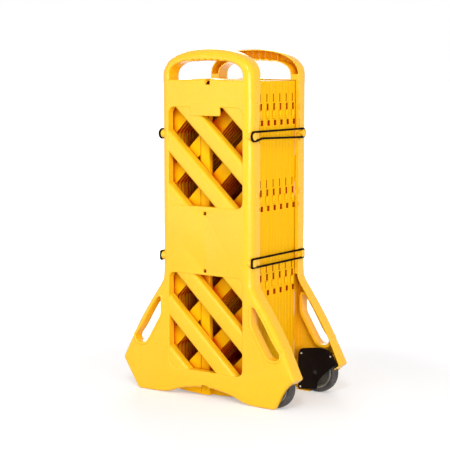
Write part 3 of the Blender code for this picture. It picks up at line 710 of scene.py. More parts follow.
@dataclass(frozen=True)
class MouldedPlastic:
    """Satin blow-moulded plastic: fine grain, slow flow of colour, pale rubbed edges, painted shade in
    hollows.
    """

    name: str
    colour: Colour
    flow: Colour
    rubbed: Colour
    roughness: Span = (0.36, 0.48)
    specular: float = 0.5
    grain: float = 0.00004
    grain_scale: float = 900.0
    swell: float = 0.0006
    swell_scale: float = 11.0
    # Painted shade: red-brown in narrow gaps, a warm orange tint of bounced light in wider hollows.
    crevices: tuple[Crevice, ...] = (
        Crevice(0.007, 0.02, 0.30, (0.56, 0.055, 0.02, 1.0)),
        Crevice(0.060, 0.10, 0.60, (0.98, 0.80, 0.30, 1.0)),
    )
    crevices_alone: bool = True
    crevice_samples: int = 8
    lit_foot: Span = (0.0, 0.0)
    flow_noise: Noise = (6.0, 3.0, (1, 1, 0.35))
    flow_stops: Span = (0.30, 0.72)
    worn_stops: Span = (0.515, 0.60)
    worn_share: float = 0.55
    speckle_noise: Noise = (240.0, 4.0)
    speckle_stops: Span = (0.66, 0.80)
    speckle_share: float = 0.25
    sheen_noise: Noise = (38.0, 5.0)
    swell_detail: float = 1.0
    swell_stretch: Point = (1, 1, 0.5)
    grain_detail: float = 2.0

    def build(self) -> bpy.types.Material:
        """Makes the material.

        Returns:
            The finished material.
        """
        graph = Graph(self.name)
        shader = graph.shader
        slow = graph.ramp(graph.noise(*self.flow_noise), self.flow_stops, self.colour, self.flow)
        edges = graph.add("NewGeometry").outputs["Pointiness"]
        worn = graph.ramp(edges, self.worn_stops, BLACK, grey(self.worn_share))
        grains = graph.noise(*self.speckle_noise)
        speckle = graph.ramp(grains, self.speckle_stops, BLACK, grey(self.speckle_share))
        colour = graph.mixed(worn, graph.mixed(speckle, slow, self.flow), self.rubbed)
        shine = graph.ramp(slow, (0.0, 1.0), grey(self.specular), grey(self.specular))
        # Each painted shade darkens the colour and takes out the reflections where the surface is hemmed in.
        for crevice in self.crevices:
            share = graph.add("AmbientOcclusion", samples=self.crevice_samples,
                              only_local=self.crevices_alone, in_Distance=crevice.reach)
            light = share.outputs["AO"]
            if self.lit_foot[1] > 0:
                light = self.lit_below(graph, light)
            stops = (crevice.closed, crevice.clear)
            colour = graph.times(colour, graph.ramp(light, stops, crevice.shade, WHITE))
            shine = graph.times(shine, graph.ramp(light, stops, BLACK, WHITE))
        graph.join(colour, shader.inputs["Base Color"])
        graph.join(shine, shader.inputs["Specular IOR Level"])
        graph.join(graph.ranged(graph.noise(*self.sheen_noise), *self.roughness), shader.inputs["Roughness"])
        graph.bumped((
            (graph.noise(self.swell_scale, self.swell_detail, self.swell_stretch), self.swell),
            (graph.noise(self.grain_scale, self.grain_detail), self.grain),
        ))
        return graph.material

    def lit_below(self, graph: Graph, light: bpy.types.NodeSocket) -> bpy.types.NodeSocket:
        """Keeps the foot of a piece, which the pale floor lights from below, out of the painted crevice
        shade.

        Args:
            graph: The material's nodes.
            light: How open each place is.

        Returns:
            The openness, raised to full below the given heights.
        """
        height = graph.add("SeparateXYZ")
        graph.join(graph.add("TexCoord").outputs["Object"], height.inputs["Vector"])
        return graph.reckoned("MAXIMUM", light, graph.ramp(height.outputs["Z"], self.lit_foot, WHITE, BLACK))


@dataclass(frozen=True)
class Dappled:
    """A surface of one colour with patches of a second, an uneven sheen and a fine relief."""

    name: str
    colour: Colour
    patches: Colour
    roughness: Span
    metallic: float
    patch_noise: Noise
    patch_stops: Span
    sheen_noise: Noise
    grain_noise: Noise
    grain: float

    def build(self) -> bpy.types.Material:
        """Makes the material.

        Returns:
            The finished material.
        """
        graph = Graph(self.name)
        graph.shader.inputs["Metallic"].default_value = self.metallic
        tone = graph.ramp(graph.noise(*self.patch_noise), self.patch_stops, self.colour, self.patches)
        sheen = graph.ranged(graph.noise(*self.sheen_noise), *self.roughness)
        graph.join(tone, graph.shader.inputs["Base Color"])
        graph.join(sheen, graph.shader.inputs["Roughness"])
        graph.bumped(((graph.noise(*self.grain_noise), self.grain),))
        return graph.material


@dataclass(frozen=True)
class Rubber(Dappled):
    """Dull tyre rubber, dusty in places."""

    name: str = "tyre_rubber"
    colour: Colour = (0.028, 0.026, 0.025, 1.0)
    patches: Colour = (0.066, 0.060, 0.055, 1.0)
    roughness: Span = (0.55, 0.78)
    metallic: float = 0.0
    patch_noise: Noise = (34.0, 6.0)
    patch_stops: Span = (0.38, 0.74)
    sheen_noise: Noise = (60.0, 4.0)
    grain_noise: Noise = (420.0, 4.0)
    grain: float = 0.00012


@dataclass(frozen=True)
class Metal(Dappled):
    """A small metal part: plated bright, or blackened, with fine turning marks and a few dull spots."""

    roughness: Span = (0.22, 0.42)
    metallic: float = 1.0
    patch_noise: Noise = (260.0, 5.0)
    patch_stops: Span = (0.45, 0.75)
    sheen_noise: Noise = (420.0, 3.0)
    grain_noise: Noise = (1500.0, 2.0, (1, 1, 6))
    grain: float = 0.00003


@dataclass(frozen=True)
class BraidedCord:
    """Elastic cord in a tight braided sheath."""

    name: str = "braided_cord"
    colour: Colour = (0.003, 0.0015, 0.001, 1.0)
    thread: Colour = (0.012, 0.007, 0.004, 1.0)
    pitch: float = 0.0022
    relief: float = 0.00035
    roughness: Span = (0.75, 0.95)
    specular: float = 0.03
    lean: float = 0.9
    wave_rate: float = 20.0
    wave_distortion: float = 0.4
    wave_detail: float = 1.0
    weave_stops: Span = (0.45, 0.95)
    sheen_noise: Noise = (300.0, 2.0)

    def build(self) -> bpy.types.Material:
        """Makes the material.

        Returns:
            The finished material.
        """
        graph = Graph(self.name)
        graph.shader.inputs["Specular IOR Level"].default_value = self.specular
        place = graph.add("TexCoord")
        waves = []
        for lean in (self.lean, -self.lean):
            mapping = graph.add("Mapping", in_Rotation=(lean, 0.0, 0.0))
            graph.join(place.outputs["Object"], mapping.inputs["Vector"])
            wave = graph.add("TexWave", bands_direction="Y", in_Scale=math.tau / self.pitch / self.wave_rate,
                             in_Distortion=self.wave_distortion, in_Detail=self.wave_detail)
            graph.join(mapping.outputs["Vector"], wave.inputs["Vector"])
            waves.append(wave.outputs["Fac"])
        weave = graph.reckoned("MAXIMUM", *waves)
        tone = graph.ramp(weave, self.weave_stops, self.colour, self.thread)
        sheen = graph.ranged(graph.noise(*self.sheen_noise), *self.roughness)
        graph.join(tone, graph.shader.inputs["Base Color"])
        graph.join(sheen, graph.shader.inputs["Roughness"])
        graph.bumped(((weave, self.relief),))
        return graph.material


@dataclass(frozen=True)
class StudioSurface:
    """Seamless white paper: it shows white to the camera and keeps the soft shadow of what stands on it."""

    name: str = "studio_paper"
    colour: Colour = (0.66, 0.66, 0.67, 1.0)
    fibre: Colour = (0.68, 0.68, 0.69, 1.0)
    lift: float = 0.33
    fade: Span = (0.7, 2.2)
    roughness: float = 0.9
    specular: float = 0.1
    fibre_noise: Noise = (3.0, 2.0)
    fibre_stops: Span = (0.3, 0.7)

    def build(self) -> bpy.types.Material:
        """Makes the material.

        Returns:
            The finished material.
        """
        graph = Graph(self.name)
        graph.shader.inputs["Roughness"].default_value = self.roughness
        graph.shader.inputs["Specular IOR Level"].default_value = self.specular
        grain = graph.ramp(graph.noise(*self.fibre_noise), self.fibre_stops, self.colour, self.fibre)
        graph.join(grain, graph.shader.inputs["Base Color"])
        path = graph.add("LightPath")
        seen = graph.reckoned("MAXIMUM", path.outputs["Is Camera Ray"], path.outputs["Is Glossy Ray"])
        seen = graph.reckoned("MAXIMUM", seen, path.outputs["Is Transmission Ray"])
        place = graph.add("TexCoord")
        far = graph.add("VectorMath", operation="LENGTH")
        graph.join(place.outputs["Object"], far.inputs[0])
        near, away = self.fade
        whiter = graph.add("MapRange", in_From_Min=near, in_From_Max=away, in_To_Min=self.lift, in_To_Max=1.0)
        graph.join(far.outputs["Value"], whiter.inputs["Value"])
        glow = graph.add("Emission", in_Color=WHITE)
        graph.join(graph.reckoned("MULTIPLY", seen, whiter.outputs["Result"]), glow.inputs["Strength"])
        both = graph.add("AddShader")
        graph.join(graph.shader.outputs[0], both.inputs[0])
        graph.join(glow.outputs[0], both.inputs[1])
        output = graph.tree.nodes["Material Output"]
        graph.join(both.outputs[0], output.inputs["Surface"])
        return graph.material


# The barrier's pieces


@dataclass(frozen=True)
class Layout:
    """The folded barrier's overall sizes, and the places that several of its pieces share."""

    height: float = 1.016
    depth: float = 0.305
    half_body: float = 0.158
    body_top: float = 0.929
    foot_reach: float = 0.147
    frame_depth: float = 0.050
    shell_wall: float = 0.0025
    seat_gap: float = 0.0003
    panel_count: int = 12
    panel_gap: float = 0.0005
    leg_share: float = 0.3789
    window_half: float = 0.130
    window_height: float = 0.28502
    window_middles: Span = (0.70753, 0.22352)
    window_corner: float = 0.020
    window_steps: int = 6
    brace_pitch: float = 0.148
    centre_spans: tuple[Span, ...] = ((0.868, 0.910), (0.378, 0.553), (0.044, 0.074))
    centre_radius: float = 0.006
    centre_ear: float = 0.008
    centre_pin: float = 0.0025
    wheel_x: float = 0.223
    wheel_radius: float = 0.062
    upper_loop: float = 0.771
    lower_loop: float = 0.412
    front_button: float = 0.0125
    rear_button: float = 0.032
    button_radius: float = 0.0095
    button_block: Spot = (0.0065, 0.0090)  # Half of its depth and of its height.
    peg: float = 0.003
    cord_radius: float = 0.0030
    cord_gap: float = 0.0003
    screw_hole: float = 0.0018

    @property
    def face(self) -> float:
        """The place of the front frame's outer face in y."""
        return -self.depth / 2

    @property
    def back(self) -> float:
        """The place of the front frame's inner edge in y."""
        return self.face + self.frame_depth

    @property
    def leg_top(self) -> float:
        """The height at which the legs leave the body."""
        return self.body_top * self.leg_share

    @property
    def panel_pitch(self) -> float:
        """The distance from one folded panel to the next."""
        return (self.depth - 2 * self.frame_depth) / self.panel_count

    @property
    def centre_axis(self) -> float:
        """The place in y of the pins between the front frame and its half panel."""
        return self.back - self.panel_pitch / 2

    @property
    def axle(self) -> Spot:
        """The place of the wheels' axles in x and z."""
        return self.wheel_x, self.wheel_radius

    @property
    def loops(self) -> tuple[tuple[str, float, bool], ...]:
        """The loops of one side: each one's word and height, and whether its buttons are square."""
        return ("upper", self.upper_loop, False), ("lower", self.lower_loop, True)

    def button_y(self, end: End) -> float:
        """The place in y of the cord buttons at one end."""
        return self.face + self.front_button if end is End.FRONT else -self.face - self.rear_button

    def leg_point(self, side: Side, across: float, up: float) -> Spot:
        """A point of a leg, from its shares of the foot's reach and of the leg's height."""
        return side.value * (self.half_body + self.foot_reach * across), self.leg_top * up

    def window(self, middle: float, grow: float = 0.0) -> list[Spot]:
        """Draws a window of the end frames.

        Args:
            middle: The window's middle height.
            grow: How much larger than the opening it is drawn, all round.

        Returns:
            The corners, counterclockwise.
        """
        half = self.window_height / 2 + grow
        return rounded_rectangle(self.window_half + grow, middle - half, middle + half,
                                 self.window_corner + grow, self.window_steps)


@dataclass
class EndFrame:
    """An end frame: a moulded shell with its handle, braced windows, slotted legs and wheel well.

    It is shaped as the front one. The rear one is its mirror image with its own holes for the cord buttons.
    """

    layout: Layout
    finish: bpy.types.Material
    face_wall: float = 0.003
    # Heights, each with the radius of the front edge there.
    round_levels: tuple[Spot, ...] = ((0.095, 0.008), (0.165, 0.016), (0.310, 0.016), (0.375, 0.024))
    back_round: float = 0.0008
    corner_reach: float = 0.006
    corner_steps: int = 4
    fine_steps: int = 3
    side_start: float = 0.98
    arch_half: float = 0.143
    arch_rise: float = 0.034
    # The carrying handle.
    handle_side: float = 0.029
    handle_bar: float = 0.030
    shoulder: float = 0.011
    grip_shoulder: float = 0.006
    handle_steps: int = 18
    handle_power: float = 0.87
    oval: float = 2.7
    handle_wall: float = 0.0032
    handle_ribs: int = 7
    channel_start: float = 0.014
    rib_wall: float = 0.0020
    rib_depth: float = 0.024
    grip_round: float = 0.006
    finger_count: int = 5
    finger_pitch: float = 0.022
    finger_dip: float = 0.0035
    finger_points: int = 10
    hump: Spot = (0.070, 0.003)  # Half of its length, and its rise.
    hump_steps: int = 8
    # The windows and their braces.
    rim: float = 0.0025
    rim_short: float = 0.004
    brace_start: float = 0.002
    brace_back: float = 0.0279
    brace_rise: float = 0.067
    brace_slope: float = 0.925
    brace_pitch: float = 0.153
    brace_shift: float = -0.0035
    brace_wall: float = 0.003
    brace_grip: float = 0.0018
    web_grip: float = 0.0013
    brace_round: float = 0.010
    brace_back_round: float = 0.001
    web_drop: float = 0.0015
    brace_count: int = 4
    # The hand slots of the legs.
    slot_corner: float = 0.009
    slot_lip: float = 0.0085
    slot_raise: float = 0.0028
    lip_depth: float = 0.030
    lip_round: float = 0.0040
    # The tab over the upper window.
    plate: tuple[float, float, float] = (0.104, 0.826, 0.862)  # Width, foot and top.
    plate_raise: float = 0.0012
    plate_proud: float = 0.0004
    plate_depth: float = 0.005
    plate_corner: float = 0.004
    # The square holes and the notches on the centre line.
    core_hole: float = 0.0105
    core_drop: float = 0.0035
    core_corner: float = 0.0012
    core_round: float = 0.0006
    top_notch: tuple[float, float, float] = (0.001, 0.018, 0.915)  # Left, right and foot.
    foot_notch: tuple[float, float, float] = (-0.014, 0.010, 0.040)  # Left, right and top.
    notch_over: float = 0.009
    notch_under: float = 0.004
    notch_corner: float = 0.002
    notch_round: float = 0.0008
    # The space for the folded stack, and the marks along the edge wall beside it.
    edge_wall: float = 0.1468
    edge_depth: float = 0.030
    edge_drop: float = 0.002
    stack_drop: float = 0.0035
    seam_marks: tuple[Span, ...] = ((0.839, 0.857), (0.750, 0.814), (0.592, 0.610), (0.557, 0.567))
    mark_depth: float = 0.0055
    mark_lip: float = 0.0012
    mark_start: float = 0.001
    # The wheel's well, with the bosses of its axle and its cover.
    well_gap: float = 0.004
    well_sides: int = 48
    boss_radius: float = 0.009
    boss_end: float = 0.015
    screw_boss: float = 0.0045
    screw_hole_depth: float = 0.012
    # The centre hinge's ears, and the seats and bores of the cord buttons.
    ear_steps: int = 12
    seat_radius: float = 0.0118
    seat_depth: float = 0.0150
    peg_bore: float = 0.0085
    # The legs, in shares of the foot's reach and of the leg's height, and the arch between them.
    plain_foot: tuple[Spot, ...] = ((0.613, 0.0), (0.907, 0.190))
    wheel_foot: tuple[Spot, ...] = (
        (0.547, 0.0), (0.633, 0.065), (0.693, 0.116), (0.773, 0.170), (0.873, 0.216),
    )
    leg_edge: tuple[Spot, ...] = (
        (1.0, 0.255), (0.860, 0.381), (0.693, 0.523), (0.547, 0.628), (0.380, 0.736),
        (0.213, 0.836), (0.067, 0.925), (0.016, 0.968), (0.0, 1.0),
    )
    slot: tuple[Spot, ...] = (
        (0.100, 0.812), (0.022, 0.820), (0.022, 0.668), (0.340, 0.446), (0.415, 0.412), (0.545, 0.404),
        (0.650, 0.418), (0.672, 0.460), (0.507, 0.545), (0.313, 0.685),
    )
    arch: tuple[Spot, ...] = ((0.664, 0.60), (0.287, 0.90), (0.0, 1.0), (-0.287, 0.90), (-0.664, 0.60))

    def outline(self) -> list[Spot]:
        """Draws the outline: legs, sides, handle and the arch between the feet.

        Returns:
            The corners, counterclockwise, with the legs' and the arch's corners eased.
        """
        lay = self.layout
        right = [lay.leg_point(Side.RIGHT, *share) for share in (*self.wheel_foot, *self.leg_edge)]
        left = [lay.leg_point(Side.LEFT, *share) for share in (*self.plain_foot, *self.leg_edge)]
        arch = [(self.arch_half * across, self.arch_rise * up) for across, up in self.arch]
        feet = [*reversed(left), (-self.arch_half, 0.0), *reversed(arch), (self.arch_half, 0.0), *right]
        body = eased([*feet, (lay.half_body, lay.body_top), (-lay.half_body, lay.body_top)],
                     self.corner_reach, self.corner_steps)
        cuts = 2 * (self.corner_steps + 1)
        return [*body[:-cuts], *self.handle()]

    def handle(self) -> list[Spot]:
        """Draws the outer edge of the carrying handle.

        Returns:
            The points, from its right foot to its left one.
        """
        lay = self.layout
        low, points = lay.body_top + self.shoulder, []
        for step in range(2 * self.handle_steps + 1):
            turn = math.pi * step / (2 * self.handle_steps)
            across, up = math.cos(turn), abs(math.sin(turn))
            points.append((math.copysign(abs(across) ** self.handle_power, across) * lay.half_body,
                           low + up ** self.handle_power * (lay.height - low)))
        return points

    def rounds(self, outline: Sequence[Spot]) -> tuple[list[float], list[float]]:
        """Finds the radius of the front and the back edge at each corner of an outline.

        Args:
            outline: The frame's outline.

        Returns:
            The front edge's radii and the back edge's.
        """
        front = []
        for _, z in outline:
            radius = self.round_levels[0][1]
            for (low, before), (high, after) in zip(self.round_levels, self.round_levels[1:]):
                radius += (after - before) * min(1.0, max(0.0, (z - low) / (high - low)))
            front.append(radius)
        return front, [self.back_round] * len(outline)

    def inside(self) -> tuple[list[Spot], list[float]]:
        """Draws the hollow of the shell, which ends below the handle.

        Returns:
            The hollow's outline, and the radius of its front edge at each corner.
        """
        lay = self.layout
        outline = self.outline()
        kept = [point for point in outline if point[1] < lay.body_top]
        top = max(i for i, (x, z) in enumerate(kept) if x > 0 and z > lay.leg_top * self.side_start)
        kept[top + 1:top + 1] = [(lay.half_body, lay.body_top), (-lay.half_body, lay.body_top)]
        radii, _ = self.rounds(kept)
        return inset(kept, [lay.shell_wall] * len(kept)), [radius - lay.shell_wall for radius in radii]

    def grip(self) -> list[Spot]:
        """Draws the handle's opening, with a low hump at its foot and finger grips at its top.

        Returns:
            The corners, counterclockwise.
        """
        lay = self.layout
        half = lay.half_body - self.handle_side
        rise = lay.height - lay.body_top - self.handle_bar - self.grip_shoulder
        low = lay.body_top + self.grip_shoulder
        reach, spacing = self.finger_count * self.finger_pitch / 2, self.finger_pitch / self.finger_points
        side = []
        for step in range(self.handle_steps):
            turn = math.pi / 2 * step / self.handle_steps
            x = half * math.cos(turn) ** (2 / self.oval)
            if x > reach + 2 * spacing:
                side.append((x, low + math.sin(turn) ** (2 / self.oval) * rise))
        ripples = []
        for step in range(self.finger_count * self.finger_points + 1):
            x = reach - step * spacing
            crown = (1 - (abs(x) / half) ** self.oval) ** (1 / self.oval)
            dip = self.finger_dip / 2 * (1 + math.cos(2 * math.pi * step / self.finger_points))
            ripples.append((x, low + crown * rise - dip))
        hump_half, hump_rise = self.hump
        foot = [(-half, lay.body_top)]
        for step in range(-self.hump_steps, self.hump_steps + 1):
            x = hump_half * step / self.hump_steps
            foot.append((x, lay.body_top + hump_rise / 2 * (1 + math.cos(math.pi * step / self.hump_steps))))
        return foot + [(half, lay.body_top)] + side + ripples + [(-x, z) for x, z in reversed(side)]

    def slots(self) -> list[list[Spot]]:
        """Draws the hand slots of both legs.

        Returns:
            The right slot and the left one, each counterclockwise.
        """
        lay = self.layout
        right = [lay.leg_point(Side.RIGHT, *share) for share in self.slot]
        left = [lay.leg_point(Side.LEFT, *share) for share in reversed(self.slot)]
        return [eased(slot, self.slot_corner, self.corner_steps) for slot in (right, left)]

    def shell(self) -> bpy.types.Object:
        """Makes the hollow shell with the handle's opening.

        Returns:
            The shell.
        """
        lay = self.layout
        outline = self.outline()
        front, back = self.rounds(outline)
        frame = rounded_prism("frame", outline, lay.face, lay.back, front, back)
        hollow, radii = self.inside()
        return shaped(
            frame, Cut.AWAY,
            rounded_prism("hollow", hollow, lay.face + self.face_wall, lay.back + PAST, radii,
                          steps=self.fine_steps),
            flared("grip", self.grip(), lay.face, lay.back + PAST, self.grip_round),
            self.handle_channel(),
        )

    def handle_channel(self) -> bpy.types.Object:
        """Makes the cutter that hollows the handle from behind, with the gaps that leave its cross ribs.

        Returns:
            The cutter.
        """
        lay, wall = self.layout, self.handle_wall
        handle, grip = self.handle(), self.grip()
        start, end = lay.face + self.channel_start, lay.back + PAST
        channel = prism("channel", inset(handle, [wall] * len(handle)), start, end)
        kept = [prism("kept", inset(grip, [-wall] * len(grip)), start - PAST, end + PAST)]
        for count in range(self.handle_ribs):
            x = (count - (self.handle_ribs - 1) / 2) * self.finger_pitch
            kept.append(box("rib", (x - self.rib_wall / 2, start - PAST, lay.body_top),
                            (x + self.rib_wall / 2, lay.face + self.rib_depth, lay.height)))
        return shaped(channel, Cut.AWAY, *kept)

    def open_windows(self, frame: bpy.types.Object) -> None:
        """Gives the shell its windows and leg slots, with their rims, and the boss of the axle.

        Args:
            frame: The shell.
        """
        lay = self.layout
        added, removed = [], []
        for middle in lay.window_middles:
            added.append(prism("rim", lay.window(middle, self.rim), lay.face + self.face_wall / 2,
                               lay.face + self.brace_back - self.rim_short))
            removed.append(flared("window", lay.window(middle), lay.face, lay.back, self.rim))
        for slot in self.slots():
            lip = inset(slot, [-self.slot_lip] * len(slot))
            radii, crest = [self.lip_round] * len(slot), lay.face - self.slot_raise
            added.append(rounded_prism("lip", lip, crest, lay.face + self.lip_depth, radii))
            removed.append(flared("slot", slot, crest, lay.back, self.lip_round))
        added.append(rod("boss", Axis.Y, lay.axle, lay.face + self.face_wall / 2,
                         lay.face + self.boss_end, self.boss_radius))
        shaped(frame, Cut.ONTO, *added)
        shaped(frame, Cut.AWAY, *removed)

    def make_room(self, frame: bpy.types.Object) -> None:
        """Clears the wheel's well and the space in which the folded stack lies.

        Args:
            frame: The shell with its openings.
        """
        lay = self.layout
        inner = lay.half_body - lay.shell_wall - lay.seat_gap
        high = (lay.half_body - lay.shell_wall / 2, lay.back - self.back_round, lay.body_top - self.edge_drop)
        shaped(frame, Cut.ONTO,
               box("edge wall", (self.edge_wall, lay.back - self.edge_depth, lay.leg_top), high))
        shaped(
            frame, Cut.AWAY,
            rod("well", Axis.Y, lay.axle, lay.face + self.boss_end + lay.seat_gap, lay.back + PAST,
                lay.wheel_radius + self.well_gap, self.well_sides),
            box("stack space", (-inner, lay.back - lay.panel_pitch - lay.panel_gap, -PAST),
                (self.edge_wall, lay.back + PAST, lay.body_top - self.stack_drop)),
            box("lower stack space", (0.0, lay.back - lay.panel_pitch - lay.panel_gap, -PAST),
                (inner, lay.back + PAST, lay.leg_top)),
            *(box("seam mark", (self.edge_wall + self.mark_start, lay.back - self.mark_depth, low),
                  (lay.half_body + PAST, lay.back - self.mark_lip, high)) for low, high in self.seam_marks),
        )

    def brace(self, frame: bpy.types.Object) -> None:
        """Joins the hollow diagonal braces, and the webs beyond them, to the windows.

        Args:
            frame: The shell with its openings.
        """
        lay = self.layout
        start, back = lay.face + self.brace_start, lay.face + self.brace_back
        thin = self.brace_rise - 2 * math.sqrt(2) * self.brace_wall
        slope, reach = -self.brace_slope, 2 * lay.half_body
        for middle in lay.window_middles:
            low, high = middle - lay.window_height / 2, middle + lay.window_height / 2
            lowest = middle + self.brace_shift - self.brace_pitch * (self.brace_count - 1) / 2
            web = self.brace_count * self.brace_pitch
            for centre in (lowest - web / 2, lowest - self.brace_pitch + web * 1.5):
                fill = prism("web", band(centre, slope, web, reach), start + self.web_drop,
                             start + self.web_drop + self.face_wall)
                within = prism("within", lay.window(middle, self.web_grip), start - PAST, back + PAST)
                shaped(frame, Cut.ONTO, shaped(fill, Cut.WITHIN, within))
            for count in range(self.brace_count):
                centre = lowest + self.brace_pitch * count
                line = band(centre, slope, self.brace_rise, reach)
                bar = rounded_prism("bar", line, start, back,
                                    [self.brace_round] * len(line), [self.brace_back_round] * len(line))
                within = prism("within", lay.window(middle, self.brace_grip), start - PAST, back + PAST)
                shaped(frame, Cut.ONTO, shaped(bar, Cut.WITHIN, within))
                wall = self.brace_wall
                hollow = clipped(band(centre, slope, thin, reach), wall - lay.window_half,
                                 lay.window_half - wall, low + wall, high - wall)
                if hollow:
                    shaped(frame, Cut.AWAY, prism("pocket", hollow, start + self.brace_round, back + PAST))

    def fit_out(self, frame: bpy.types.Object, screws: Sequence[Spot]) -> None:
        """Adds the hinge ears, screw bosses and tab, and opens their holes, the core holes and two notches.

        Args:
            frame: The frame to fit out.
            screws: Where the wheel cover's screws stand.
        """
        lay = self.layout
        start, radius = lay.face + self.face_wall / 2, lay.centre_radius
        ear = [(-radius, start), (radius, start)]
        for step in range(self.ear_steps + 1):
            turn = math.pi * step / self.ear_steps
            ear.append((radius * math.cos(turn), lay.centre_axis + radius * math.sin(turn)))
        added = [rod("screw boss", Axis.Y, spot, start, lay.back, self.screw_boss) for spot in screws]
        removed = [rod("screw hole", Axis.Y, spot, lay.back - self.screw_hole_depth, lay.back + PAST,
                       lay.screw_hole) for spot in screws]
        for low, high in lay.centre_spans:
            for foot in (low, high - lay.centre_ear):
                ends = (foot, foot + lay.centre_ear)
                added.append(stacked("ear", [[(x, y, z) for x, y in ear] for z in ends]))
            removed.append(rod("pin hole", Axis.Z, (0.0, lay.centre_axis), low - PAST, high + PAST,
                               lay.centre_pin + lay.seat_gap))
        width, foot, top = self.plate
        tab = eased([(-width / 2, foot), (width / 2, foot), (width / 2, top), (-width / 2, top)],
                    self.plate_corner, self.corner_steps)
        added.append(rounded_prism("plate", tab, lay.face - self.plate_proud, lay.face + self.plate_depth,
                                   [self.plate_raise + self.plate_proud] * len(tab), steps=self.corner_steps))
        shaped(frame, Cut.ONTO, *added)
        middle_low, middle_high = lay.centre_spans[1]
        half, back = self.core_hole / 2, lay.face + self.brace_back - self.rim_short
        for place in (middle_low + lay.centre_ear / 2, middle_high - lay.centre_ear / 2):
            height = place - self.core_drop
            square = eased([(-half, height - half), (half, height - half),
                            (half, height + half), (-half, height + half)], self.core_corner, self.fine_steps)
            removed.append(flared("core hole", square, lay.face, back, self.core_round,
                                  steps=self.fine_steps))
        (left, right, foot), top = self.top_notch, lay.body_top + self.notch_over
        removed.append(self.notch("top notch", left, right, foot, top))
        (left, right, top), foot = self.foot_notch, -self.notch_under
        removed.append(self.notch("foot notch", left, right, foot, top))
        shaped(frame, Cut.AWAY, *removed)

    def notch(self, name: str, left: float, right: float, foot: float, top: float) -> bpy.types.Object:
        """Makes the cutter of a notch in the frame's upper or lower edge.

        Args:
            name: The cutter's name.
            left: The notch's left edge.
            right: Its right edge.
            foot: Its lower end.
            top: Its upper end.

        Returns:
            The cutter.
        """
        face = self.layout.face
        gap = eased([(left, foot), (right, foot), (right, top), (left, top)],
                    self.notch_corner, self.fine_steps)
        return flared(name, gap, face, face + self.brace_back - self.rim_short, self.notch_round,
                      steps=self.fine_steps)

    def bored(self, frame: bpy.types.Object, end: End) -> bpy.types.Object:
        """Bores the frame's sides for the pegs of its cord buttons and finishes it.

        Args:
            frame: The frame to bore.
            end: Which of the two frames it is.

        Returns:
            The finished frame.
        """
        lay = self.layout
        holes, seats = [], []
        for side in Side:
            for _, height, _ in lay.loops:
                centre = (lay.button_y(end), height)
                if end is End.FRONT:
                    start, stop = (side.value * (lay.half_body - shift) for shift in (self.seat_depth, 0.0))
                    seats.append(rod("seat", Axis.X, centre, start, stop, self.seat_radius))
                start, stop = (side.value * (lay.half_body + shift) for shift in (-self.peg_bore, PAST))
                holes.append(rod("peg hole", Axis.X, centre, start, stop, lay.peg + lay.seat_gap))
        if seats:
            shaped(frame, Cut.ONTO, *seats)
        shaped(frame, Cut.AWAY, *holes)
        frame.name = f"{end.word}_end_frame"
        coated(frame, self.finish)
        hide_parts(f"{end.word}_frame")
        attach(frame, f"{end.word}_frame")
        return smooth(frame)

    def build(self, screws: Sequence[Spot]) -> list[bpy.types.Object]:
        """Makes both end frames.

        Args:
            screws: Where the wheel cover's screws stand.

        Returns:
            The front and the rear frame.
        """
        frame = self.shell()
        self.open_windows(frame)
        self.make_room(frame)
        self.brace(frame)
        self.fit_out(frame, screws)
        rear = mirrored(frame, "rear")
        return [self.bored(frame, End.FRONT), self.bored(rear, End.REAR)]


